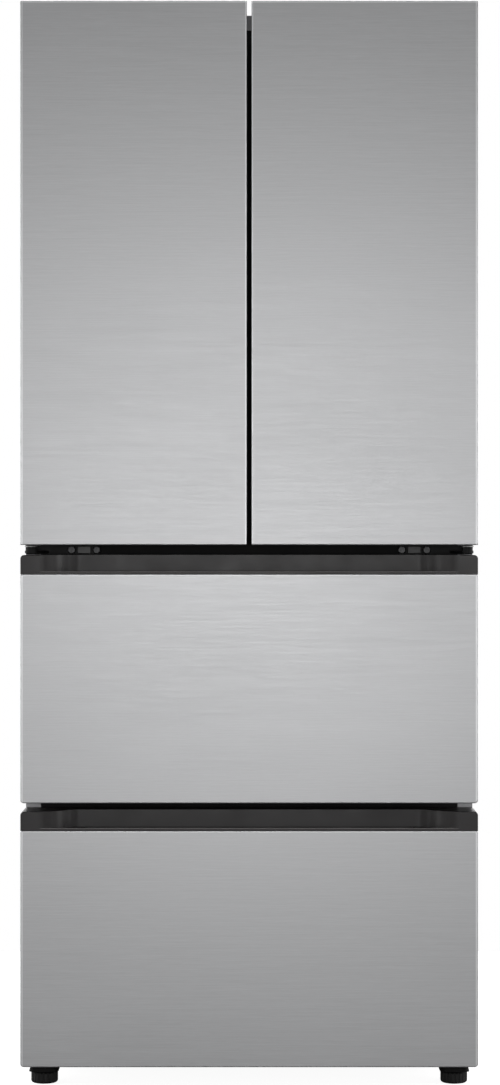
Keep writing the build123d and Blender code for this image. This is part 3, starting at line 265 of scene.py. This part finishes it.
def gearShaftFinish():
    # white plastic pinions at both ends of a bright steel rod
    finish, tree, shader = newFinish("gearShaftFinish", gearShaft["plastic"], 0.4)
    coords = tree.nodes.new("ShaderNodeTexCoord")
    split = tree.nodes.new("ShaderNodeSeparateXYZ")
    tree.links.new(coords.outputs["Object"], split.inputs["Vector"])
    across = arithmetic(tree, "ABSOLUTE", split.outputs["X"], 0.0)
    rod = arithmetic(tree, "LESS_THAN", across, gearShaft["plasticFrom"])
    tree.links.new(tint(tree, rod, gearShaft["plastic"], gearShaft["steel"], 0.0, 1.0), shader.inputs["Base Color"])
    tree.links.new(rod, shader.inputs["Metallic"])
    grit = noise(tree, placeOnObject(tree), 500.0, 2.0)
    tree.links.new(spread(tree, grit, 0.32, 0.46), shader.inputs["Roughness"])
    raiseSurface(tree, shader, grit, 0.4, 0.00004)
    return finish


finishes = {
    "front_steel": brushedFrontSteel(
        "doorSteel", "left_door_panel", -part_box("left_door_panel")[1][0], frontSteel["doorTopLine"],
    ),
    "grip_plastic": mouldedPlastic(
        "gripPlastic", (0.0155, 0.0135, 0.0138), 0.42, grain=800.0, depth=0.00002, shade=0.06, shine=0.42,
    ),
    "case_paint": paintedSheet("caseSilver", (0.3, 0.3, 0.308), 0.42, peel=420.0, metallic=0.3, shade=0.02),
    "galvanised_sheet": galvanisedSheet(),
    "frame_paint": mouldedPlastic("frameBlack", (0.003, 0.003, 0.0032), 0.8, grain=500.0, shine=0.3),
    "liner": mouldedPlastic(
        "tubWhite", (0.8, 0.81, 0.82), 0.3, grain=350.0, depth=0.00005, shade=0.02, coat=0.15,
    ),
    "door_lining": mouldedPlastic(
        "doorLiningWhite", (0.79, 0.8, 0.81), 0.3, grain=350.0, depth=0.00005, shade=0.02, coat=0.15,
    ),
    "foam": rigidFoam(),
    "gasket": mouldedPlastic("gasketGrey", (0.045, 0.045, 0.047), 0.65, grain=500.0, depth=0.00008, shade=0.1),
    "cap_plastic": mouldedPlastic("capBlack", (0.022, 0.022, 0.0225), 0.5, grain=600.0, depth=0.00005),
    "bin_plastic": clearPlastic("binClear", (0.93, 0.96, 0.98), 0.07, transmission=0.9, ior=1.49),
    "basket_plastic": mouldedPlastic(
        "basketGrey", (0.62, 0.63, 0.64), 0.42, grain=450.0, depth=0.00006, shade=0.04,
    ),
    "kimchi_box": mouldedPlastic(
        "kimchiBoxBrown", (0.33, 0.115, 0.06), 0.38, grain=500.0, depth=0.00005, shade=0.05,
    ),
    "duct_plastic": mouldedPlastic("ductGrey", (0.6, 0.61, 0.63), 0.4, grain=450.0, depth=0.00005, shade=0.03),
    "light_lens": mouldedPlastic("frostedLens", (0.88, 0.89, 0.9), 0.35, grain=900.0, depth=0.00008, shade=0.02),
    "control_plastic": mouldedPlastic(
        "controlBlack", (0.018, 0.018, 0.019), 0.12, grain=900.0, depth=0.00001, shade=0.05, coat=0.6,
    ),
    "shelf_glass": clearPlastic("shelfGlass", (0.86, 0.95, 0.92), 0.02, transmission=1.0, ior=1.52),
    "shelf_trim": mouldedPlastic("shelfTrimSilver", (0.5, 0.51, 0.52), 0.33, grain=500.0, shade=0.04),
    "hinge_steel": mouldedPlastic(
        "hingeBlack", (0.006, 0.006, 0.0062), 0.5, grain=400.0, depth=0.00008, shade=0.1, shine=0.15,
    ),
    "screw_steel": paintedSheet("screwBlack", (0.022, 0.022, 0.023), 0.36, peel=400.0, metallic=0.5),
    "rail_steel": drawnMetal("railZinc", (0.55, 0.555, 0.56), 0.3),
    "gear_plastic": mouldedPlastic("gearWhite", (0.72, 0.72, 0.7), 0.4, grain=500.0, shade=0.03),
    "compressor_paint": paintedSheet("compressorBlack", (0.012, 0.012, 0.0125), 0.42, peel=180.0),
    "fan_plastic": mouldedPlastic("fanBlack", (0.028, 0.028, 0.03), 0.48, grain=500.0, depth=0.00005),
    "gland_rubber": mouldedPlastic("glandRubber", (0.018, 0.018, 0.018), 0.7, grain=400.0, depth=0.0001),
    "foot_plastic": mouldedPlastic("footBlack", (0.006, 0.006, 0.006), 0.42, grain=600.0, depth=0.00005, shine=0.4),
    "roller_plastic": mouldedPlastic("rollerGrey", (0.09, 0.09, 0.09), 0.5, grain=500.0, depth=0.00006),
}
copper = drawnMetal("copperPipe", (0.72, 0.36, 0.22), 0.32)
paleMark = mouldedPlastic("touchMarkPale", (0.5, 0.52, 0.54), 0.3, grain=900.0, depth=0.00001, shade=0.02)
# the grip's plastic made lighter for the lip bead: a painted highlight on the lip's edge
gripBeadPaintedHighlight = mouldedPlastic(
    "gripBeadPaintedHighlight", (0.095, 0.088, 0.088), 0.34, grain=800.0, depth=0.00002, shade=0.06, shine=0.9,
)
bossGrey = mouldedPlastic("bossGrey", (0.034, 0.034, 0.034), 0.45, grain=600.0)
washerZinc = drawnMetal("washerZinc", (0.4, 0.4, 0.4), 0.34)
valveGrey = mouldedPlastic("valveGrey", (0.5, 0.49, 0.47), 0.4, grain=500.0, shade=0.04)
bracketBlack = mouldedPlastic(
    "footBracketBlack", (0.003, 0.003, 0.003), 0.6, grain=500.0, depth=0.00006, shade=0.1, shine=0.15,
)
ownFinishes = {
    "middle_gear_shaft": gearShaftFinish(), "lower_gear_shaft": gearShaftFinish(), "foot_brackets": bracketBlack,
    "middle_drawer_panel": brushedFrontSteel("middleDrawerSteel", "middle_drawer_panel"),
    "lower_drawer_panel": brushedFrontSteel("lowerDrawerSteel", "lower_drawer_panel"),
}
for entry in frame["record"]["subparts"]:
    finish = ownFinishes.get(entry["node"], finishes[entry["material_slot"]])
    for materialSlot in nodes[entry["node"]].material_slots:
        materialSlot.material = finish
print("finishes assigned:", len(finishes))


def newPiece(name, bm, body, slot, finish=None, sharp=35.0):
    bmesh.ops.recalc_face_normals(bm, faces=bm.faces)
    for face in bm.faces:
        face.smooth = True
    for edge in bm.edges:
        edge.smooth = edge.calc_face_angle(0.0) < math.radians(sharp)
    mesh = bpy.data.meshes.new(name)
    bm.to_mesh(mesh)
    bm.free()
    piece = bpy.data.objects.new(name, mesh)
    bpy.context.scene.collection.objects.link(piece)
    mesh.materials.append(finish or finishes[slot])
    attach(piece, body)
    return piece


facings = {"Z": Vector((0, 0, 1)), "-Z": Vector((0, 0, -1)), "Y": Vector((0, 1, 0))}


def turned(bm, outline, place, facing="Z", steps=24):
    # spins an outline of radius and height, then stands it at its place facing along an axis
    known = set(bm.verts)
    corners = [bm.verts.new((radius, 0.0, height)) for radius, height in outline]
    edges = [bm.edges.new(pair) for pair in zip(corners, corners[1:])]
    bmesh.ops.spin(
        bm, geom=corners + edges, cent=(0, 0, 0), axis=(0, 0, 1), angle=math.tau, steps=steps, use_merge=True,
    )
    fresh = [vert for vert in bm.verts if vert not in known]
    bmesh.ops.remove_doubles(bm, verts=fresh, dist=0.000001)
    fresh = [vert for vert in bm.verts if vert not in known]
    turn = facings["Z"].rotation_difference(facings[facing])
    bmesh.ops.rotate(bm, verts=fresh, cent=(0, 0, 0), matrix=turn.to_matrix())
    bmesh.ops.translate(bm, verts=fresh, vec=place)


def profileBar(bm, points, place, length, rounding=0.0):
    # points lie in Y and Z, the bar runs along X
    corners = [bm.verts.new((place[0], place[1] + y, place[2] + z)) for y, z in points]
    grown = bmesh.ops.extrude_face_region(bm, geom=[bm.faces.new(corners)])["geom"]
    far = [item for item in grown if isinstance(item, bmesh.types.BMVert)]
    bmesh.ops.translate(bm, verts=far, vec=(length, 0, 0))
    if rounding:
        edges = {edge for vert in corners + far for edge in vert.link_edges}
        bmesh.ops.bevel(
            bm, geom=list(edges), offset=rounding, offset_type="OFFSET", segments=2, profile=0.5,
            affect="EDGES", material=-1,
        )


# magnetic gaskets: a bellows with a flat magnet pocket, its corners mitred as they are welded
# each corner of the section is its inset from the outer edge and its depth from the front
gasketFold = [
    (0.0024, 0.0), (0.0012, 0.0018), (0.0026, 0.0036), (0.0009, 0.0056), (0.0003, 0.0078),
    (0.0007, 0.01), (0.0018, 0.0107), (0.0122, 0.0107), (0.0133, 0.01), (0.0137, 0.0078),
    (0.0131, 0.0056), (0.0114, 0.0036), (0.0128, 0.0018), (0.0116, 0.0),
]


def magneticGasket(name, node, body):
    low, high = (Vector(corner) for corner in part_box(node))
    middle = (low + high) / 2
    bm = bmesh.new()
    rings = []
    for inset, depth in gasketFold:
        across = (high.x - low.x) / 2 - inset
        up = (high.z - low.z) / 2 - inset
        corners = ((-across, -up), (across, -up), (across, up), (-across, up))
        rings.append([bm.verts.new((middle.x + x, low.y + depth, middle.z + z)) for x, z in corners])
    for first, second in zip(rings, rings[1:] + rings[:1]):
        for corner in range(4):
            following = (corner + 1) % 4
            bm.faces.new((first[corner], first[following], second[following], second[corner]))
    piece = newPiece(name, bm, body, "gasket")
    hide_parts(node)


for side in ("left", "right"):
    magneticGasket(side + "DoorMagnetSeal", side + "_door_gasket", side + "_door")
for drawer in ("middle", "lower"):
    magneticGasket(drawer + "DrawerMagnetSeal", drawer + "_drawer_gasket", drawer + "_drawer")
print("gaskets made")


# kimchi boxes: a flip clip at the front and back of each lid, and a vent knob in its sunken top
kimchiBoxes = {
    "middle_drawer_boxes": {"body": "middle_drawer", "lid": 0.256},
    "lower_drawer_boxes": {"body": "lower_drawer", "lid": 0.256},
    "upper_boxes": {"body": "cabinet", "lid": 0.242},
}
boxClip = {
    "width": 0.07, "rounding": 0.0008, "belowTop": 0.0045,
    "profile": [
        (0.0004, 0.0), (0.0004, -0.0235), (0.0022, -0.0262), (-0.0002, -0.0272), (-0.0026, -0.0262),
        (-0.0032, -0.0225), (-0.0024, -0.02), (-0.0024, -0.004), (-0.0016, -0.0005),
    ],
}
ventKnob = {
    "sunken": 0.006, "fromBack": 0.075,
    "outline": [
        (0.0, 0.0046), (0.0052, 0.0046), (0.0066, 0.0036), (0.0086, 0.0034), (0.0102, 0.0026),
        (0.0112, 0.0012), (0.0118, 0.0),
    ],
}
backClip = [(-y, z) for y, z in reversed(boxClip["profile"])]
for node, box in kimchiBoxes.items():
    low, high = (Vector(corner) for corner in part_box(node))
    clips, knobs = bmesh.new(), bmesh.new()
    for side in (-1, 1):
        middleX = side * (high.x - box["lid"] / 2)
        for profile, edgeY in ((boxClip["profile"], low.y), (backClip, high.y)):
            place = (middleX - boxClip["width"] / 2, edgeY, high.z - boxClip["belowTop"])
            profileBar(clips, profile, place, boxClip["width"], boxClip["rounding"])
        turned(knobs, ventKnob["outline"], (middleX, high.y - ventKnob["fromBack"], high.z - ventKnob["sunken"]))
    newPiece(node + "_clips", clips, box["body"], "kimchi_box", valveGrey)
    newPiece(node + "_vents", knobs, box["body"], "kimchi_box", valveGrey)
print("box fittings made")


# hex flange screws: rear cover, back panel, and the feet of the drawer arms
hexScrew = {
    "head": [(0.0, 0.0034), (0.0028, 0.0034), (0.0037, 0.003), (0.004, 0.0026), (0.004, 0.0006)],
    "flange": [(0.0036, 0.0012), (0.0056, 0.001), (0.0062, 0.0006), (0.0062, 0.0)],
}


def hexScrews(name, body, facing, places):
    bm = bmesh.new()
    for place in places:
        turned(bm, hexScrew["head"], place, facing, 6)
        turned(bm, hexScrew["flange"], place, facing, 18)
    newPiece(name, bm, body, "rail_steel", sharp=25.0)


# columns of screws down both sides, and rows across the top of the rear cover and of the panel
backScrew = {
    "columnX": 0.319, "lowestZ": 0.046, "belowCoverTop": 0.012, "panelZ": (0.24, 0.5, 0.77, 1.04, 1.3, 1.565),
    "rowX": (-0.21, -0.07, 0.07, 0.21), "rowBelowCoverTop": 0.005, "topRowZ": 1.578,
}
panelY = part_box("rear_cover")[1][1]
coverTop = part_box("rear_cover")[1][2]
columnZ = (backScrew["lowestZ"], coverTop - backScrew["belowCoverTop"], *backScrew["panelZ"])
rowZ = (coverTop - backScrew["rowBelowCoverTop"], backScrew["topRowZ"])
backScrews = [(side * backScrew["columnX"], panelY, z) for side in (-1, 1) for z in columnZ]
backScrews += [(x, panelY, z) for x in backScrew["rowX"] for z in rowZ]
hexScrews("backPanelScrews", "cabinet", "Y", backScrews)

# two screws through each arm's foot, below and above the rail
armScrew = {"x": 0.2595, "footPlate": 0.002, "railBelowTop": 0.026, "fromRail": (-0.011, 0.013)}
for drawer in ("middle", "lower"):
    low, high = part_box(drawer + "_drawer_arms")
    footY = low[1] + armScrew["footPlate"]
    railZ = high[2] - armScrew["railBelowTop"]
    armScrews = [(side * armScrew["x"], footY, railZ + up) for side in (-1, 1) for up in armScrew["fromRail"]]
    hexScrews(drawer + "ArmScrews", drawer + "_drawer", "Y", armScrews)
print("screws made")


# touch control: a row of plain round marks in the glossy strip
touchRow = {
    "count": 5, "pitch": 0.024, "steps": 20,
    "outline": [(0.0, 0.0003), (0.0026, 0.0003), (0.003, 0.0001), (0.003, -0.0002)],
}
low, high = (Vector(corner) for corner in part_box("control_strip"))
bm = bmesh.new()
for step in range(touchRow["count"]):
    x = (low.x + high.x) / 2 + (step - (touchRow["count"] - 1) / 2) * touchRow["pitch"]
    turned(bm, touchRow["outline"], (x, (low.y + high.y) / 2, low.z), "-Z", touchRow["steps"])
newPiece("touchMarks", bm, "cabinet", "control_plastic", paleMark)


# door bins: a rounded grip rail along the front of each
binRail = {
    "count": 3, "pitch": 0.215, "fromTop": 0.016, "corner": 0.026, "rounding": 0.0006,
    "profile": [
        (-0.0004, 0.0), (0.0022, 0.0008), (0.0034, 0.004), (0.0034, 0.008), (0.0022, 0.0112), (-0.0004, 0.012),
    ],
}
for side in ("left", "right"):
    low, high = (Vector(corner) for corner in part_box(side + "_door_bins"))
    length = high.x - low.x - 2 * binRail["corner"]
    bm = bmesh.new()
    for step in range(binRail["count"]):
        top = high.z - step * binRail["pitch"]
        place = (low.x + binRail["corner"], high.y, top - binRail["fromTop"])
        profileBar(bm, binRail["profile"], place, length, binRail["rounding"])
    newPiece(side + "BinRails", bm, side + "_door", "shelf_trim")


# copper pipes from the compressor's stubs into the insulation
pipeTube = {"radius": 0.0032, "roundness": 3, "pathSteps": 8}
pipes = {
    "dischargePipe": [
        (-0.227, 0.2735, 0.192), (-0.227, 0.2735, 0.2), (-0.231, 0.2735, 0.2055), (-0.262, 0.2735, 0.2055),
        (-0.296, 0.262, 0.2055), (-0.304, 0.23, 0.204), (-0.304, 0.2, 0.19), (-0.304, 0.186, 0.18),
    ],
    "suctionPipe": [
        (-0.103, 0.2735, 0.192), (-0.103, 0.2735, 0.2), (-0.1, 0.27, 0.2055), (-0.078, 0.25, 0.2055),
        (-0.066, 0.215, 0.204), (-0.066, 0.195, 0.196), (-0.066, 0.186, 0.19),
    ],
}
for name, route in pipes.items():
    curve = bpy.data.curves.new(name, "CURVE")
    curve.dimensions = "3D"
    curve.bevel_depth = pipeTube["radius"]
    curve.bevel_resolution = pipeTube["roundness"]
    curve.resolution_u = pipeTube["pathSteps"]
    spline = curve.splines.new("NURBS")
    spline.points.add(len(route) - 1)
    for point, place in zip(spline.points, route):
        point.co = (*place, 1.0)
    spline.order_u = 3
    spline.use_endpoint_u = True
    curve.materials.append(copper)
    pipe = bpy.data.objects.new(name, curve)
    bpy.context.scene.collection.objects.link(pipe)
    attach(pipe, "cabinet")


# grips: a rounded bead along the top of each front lip, coloured lighter than the grip's plastic as a painted
# highlight
gripBead = {
    "gripHeight": 0.0278, "lipHeight": 0.0028, "endFlat": 0.027, "sharp": 50.0,
    "profile": [
        (0.0002, -0.0006), (0.0002, 0.0001), (0.0005, 0.0007), (0.0011, 0.0011), (0.0019, 0.0012),
        (0.0027, 0.001), (0.0032, 0.0004), (0.0033, -0.0006),
    ],
}
for drawer in ("middle", "lower"):
    low, high = (Vector(corner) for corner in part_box(drawer + "_drawer_grip"))
    bm = bmesh.new()
    place = (low.x + gripBead["endFlat"], low.y, high.z - gripBead["gripHeight"] + gripBead["lipHeight"])
    profileBar(bm, gripBead["profile"], place, high.x - low.x - 2 * gripBead["endFlat"])
    newPiece(drawer + "GripBead", bm, drawer + "_drawer", "grip_plastic", gripBeadPaintedHighlight, gripBead["sharp"])


# thrust washers on the pins of the middle hinges
washer = {
    "x": 0.319, "y": -0.3465, "belowDoor": 0.0033, "steps": 32,
    "outline": [
        (0.0081, 0.0), (0.0088, 0.0002), (0.0092, 0.0009), (0.0092, 0.0017), (0.0088, 0.0024), (0.0081, 0.0026),
    ],
}
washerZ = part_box("left_door_caps")[0][2] - washer["belowDoor"]
bm = bmesh.new()
for side in (-1, 1):
    turned(bm, washer["outline"], (side * washer["x"], washer["y"], washerZ), "Z", washer["steps"])
newPiece("hingeWashers", bm, "cabinet", "screw_steel", washerZinc)


# grey caps on the bosses between the screws of the middle hinges
bossCap = {
    "x": 0.2445, "z": 0.7958, "width": 0.018, "aheadOfFrame": 0.007,
    "profile": [
        (0.0, 0.005), (0.0, -0.005), (-0.0004, -0.005), (-0.0008, -0.0046), (-0.0008, 0.0046), (-0.0004, 0.005),
    ],
}
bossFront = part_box("front_frame")[0][1] - bossCap["aheadOfFrame"]
bm = bmesh.new()
for side in (-1, 1):
    place = (side * bossCap["x"] - bossCap["width"] / 2, bossFront, bossCap["z"])
    profileBar(bm, bossCap["profile"], place, bossCap["width"])
newPiece("hingeBossCaps", bm, "cabinet", "screw_steel", bossGrey)
print("small fittings made")


# studio: pale floor, soft lamps and a white surround
studio = {
    "floorSize": 1.15, "floorSides": 96, "floorColor": 0.8, "floorSeen": 0.4, "floorWhite": 0.93,
    "floorMirrored": 0.15, "floorGloss": 0.03, "ambient": 0.35, "horizon": 0.22,
    "bandEnds": (0.36, 0.64), "bandDim": 0.12,
}


def rayKinds(tree):
    paths = tree.nodes.new("ShaderNodeLightPath")
    seen = arithmetic(tree, "MAXIMUM", paths.outputs["Is Camera Ray"], paths.outputs["Is Transmission Ray"])
    return seen, paths.outputs["Is Glossy Ray"]


def plainLight(tree, strength):
    glow = tree.nodes.new("ShaderNodeBackground")
    glow.inputs["Color"].default_value = (1.0, 1.0, 1.0, 1.0)
    glow.inputs["Strength"].default_value = strength
    return glow


def buildWorld():
    # camera and transmission rays see plain white, glossy rays a white band at the height of the horizon
    world = bpy.data.worlds.new("studioWorld")
    bpy.context.scene.world = world
    world.use_nodes = True
    tree = world.node_tree
    tree.nodes.clear()
    output = tree.nodes.new("ShaderNodeOutputWorld")
    white = plainLight(tree, 1.0)
    ambient = plainLight(tree, studio["ambient"])
    surround = plainLight(tree, studio["horizon"])
    seen, glossy = rayKinds(tree)
    coords = tree.nodes.new("ShaderNodeTexCoord")
    split = tree.nodes.new("ShaderNodeSeparateXYZ")
    tree.links.new(coords.outputs["Generated"], split.inputs["Vector"])
    band = tree.nodes.new("ShaderNodeValToRGB")
    band.color_ramp.interpolation = "EASE"
    for element, place in zip(band.color_ramp.elements, studio["bandEnds"]):
        element.position = place
        element.color = (*(studio["bandDim"],) * 3, 1.0)
    band.color_ramp.elements.new(0.5).color = (1.0, 1.0, 1.0, 1.0)
    tree.links.new(spread(tree, split.outputs["Z"], 0.0, 1.0, -1.0, 1.0), band.inputs["Fac"])
    tree.links.new(band.outputs["Color"], surround.inputs["Color"])
    mixGlossy = tree.nodes.new("ShaderNodeMixShader")
    mixSeen = tree.nodes.new("ShaderNodeMixShader")
    tree.links.new(glossy, mixGlossy.inputs["Fac"])
    tree.links.new(ambient.outputs[0], mixGlossy.inputs[1])
    tree.links.new(surround.outputs[0], mixGlossy.inputs[2])
    tree.links.new(seen, mixSeen.inputs["Fac"])
    tree.links.new(mixGlossy.outputs[0], mixSeen.inputs[1])
    tree.links.new(white.outputs[0], mixSeen.inputs[2])
    tree.links.new(mixSeen.outputs[0], output.inputs["Surface"])


def layFloor():
    # the camera sees it nearly white with the object's soft shadow, glossy rays see it darker
    mesh = bpy.data.meshes.new("studioFloor")
    bm = bmesh.new()
    bmesh.ops.create_circle(bm, cap_ends=True, radius=studio["floorSize"], segments=studio["floorSides"])
    bm.to_mesh(mesh)
    bm.free()
    floor = bpy.data.objects.new("studioFloor", mesh)
    bpy.context.scene.collection.objects.link(floor)
    finish, tree, shader = newFinish("floorPale", (studio["floorColor"],) * 3, 0.9)
    shader.inputs["Specular IOR Level"].default_value = 0.1
    seen, glossy = rayKinds(tree)
    paleFloor = tint(tree, seen, (studio["floorColor"],) * 3, (studio["floorSeen"],) * 3, 0.0, 1.0)
    mirrored = tint(tree, glossy, (1.0, 1.0, 1.0), (studio["floorMirrored"],) * 3, 0.0, 1.0)
    shade = tree.nodes.new("ShaderNodeMix")
    shade.data_type = "RGBA"
    shade.blend_type = "MULTIPLY"
    shade.inputs["Factor"].default_value = 1.0
    tree.links.new(paleFloor, shade.inputs[6])
    tree.links.new(mirrored, shade.inputs[7])
    tree.links.new(shade.outputs[2], shader.inputs["Base Color"])
    glow = tree.nodes.new("ShaderNodeEmission")
    glow.inputs["Color"].default_value = (1.0, 1.0, 1.0, 1.0)
    seenGlow = arithmetic(tree, "MULTIPLY", seen, studio["floorWhite"])
    glossyGlow = arithmetic(tree, "MULTIPLY", glossy, studio["floorGloss"])
    tree.links.new(arithmetic(tree, "ADD", seenGlow, glossyGlow), glow.inputs["Strength"])
    add = tree.nodes.new("ShaderNodeAddShader")
    tree.links.new(shader.outputs[0], add.inputs[0])
    tree.links.new(glow.outputs[0], add.inputs[1])
    tree.links.new(add.outputs[0], tree.nodes["Material Output"].inputs["Surface"])
    mesh.materials.append(finish)


buildWorld()
layFloor()

lamps = {
    "frontSoftbox": {"at": (0.0, -4.8, 0.84), "aim": (0.0, 0.0, 0.84), "size": (1.14, 0.88), "power": 32.0},
    "leftSoftbox": {"at": (-3.0, -0.85, 0.9), "aim": (0.0, -0.3, 0.8), "size": (1.2, 1.8), "power": 25.0},
    "rightSoftbox": {"at": (3.0, -0.85, 0.9), "aim": (0.0, -0.3, 0.8), "size": (1.2, 1.8), "power": 27.0},
    "leftFill": {"at": (-3.0, 1.2, 0.9), "aim": (0.0, 0.0, 0.8), "size": (1.8, 1.8), "power": 24.0},
    "rightFill": {"at": (3.0, 1.2, 0.9), "aim": (0.0, 0.0, 0.8), "size": (1.8, 1.8), "power": 22.0},
    "leftWing": {"at": (-2.6, -3.2, 1.0), "aim": (0.0, -0.3, 0.8), "size": (1.6, 1.6), "power": 14.0},
    "rightWing": {"at": (2.6, -3.2, 1.0), "aim": (0.0, -0.3, 0.8), "size": (1.6, 1.6), "power": 14.0},
    "overhead": {"at": (0.0, -0.1, 4.2), "aim": (0.0, 0.0, 0.8), "size": (3.0, 1.6), "power": 60.0},
    "rearFill": {"at": (0.0, 4.5, 1.8), "aim": (0.0, 0.0, 0.8), "size": (3.0, 2.0), "power": 45.0},
}
for name, lamp in lamps.items():
    light = bpy.data.lights.new(name, "AREA")
    light.shape = "RECTANGLE"
    light.size, light.size_y = lamp["size"]
    light.energy = lamp["power"]
    holder = bpy.data.objects.new(name, light)
    holder.location = lamp["at"]
    holder.rotation_euler = (Vector(lamp["aim"]) - Vector(lamp["at"])).to_track_quat("-Z", "Y").to_euler()
    holder.visible_camera = False
    bpy.context.scene.collection.objects.link(holder)

view = {"at": (0.0012, -4.3685, 0.8067), "lens": 91.25, "sensor": 36.0, "clipEnd": 50.0}
camera = bpy.data.cameras.new("camera")
camera.lens = view["lens"]
camera.sensor_width = view["sensor"]
camera.clip_end = view["clipEnd"]
holder = bpy.data.objects.new("camera", camera)
holder.location = view["at"]
holder.rotation_euler = (math.radians(90.0), 0.0, 0.0)
bpy.context.scene.collection.objects.link(holder)
bpy.context.scene.camera = holder
bpy.context.scene.view_settings.view_transform = "Standard"
print("studio ready")
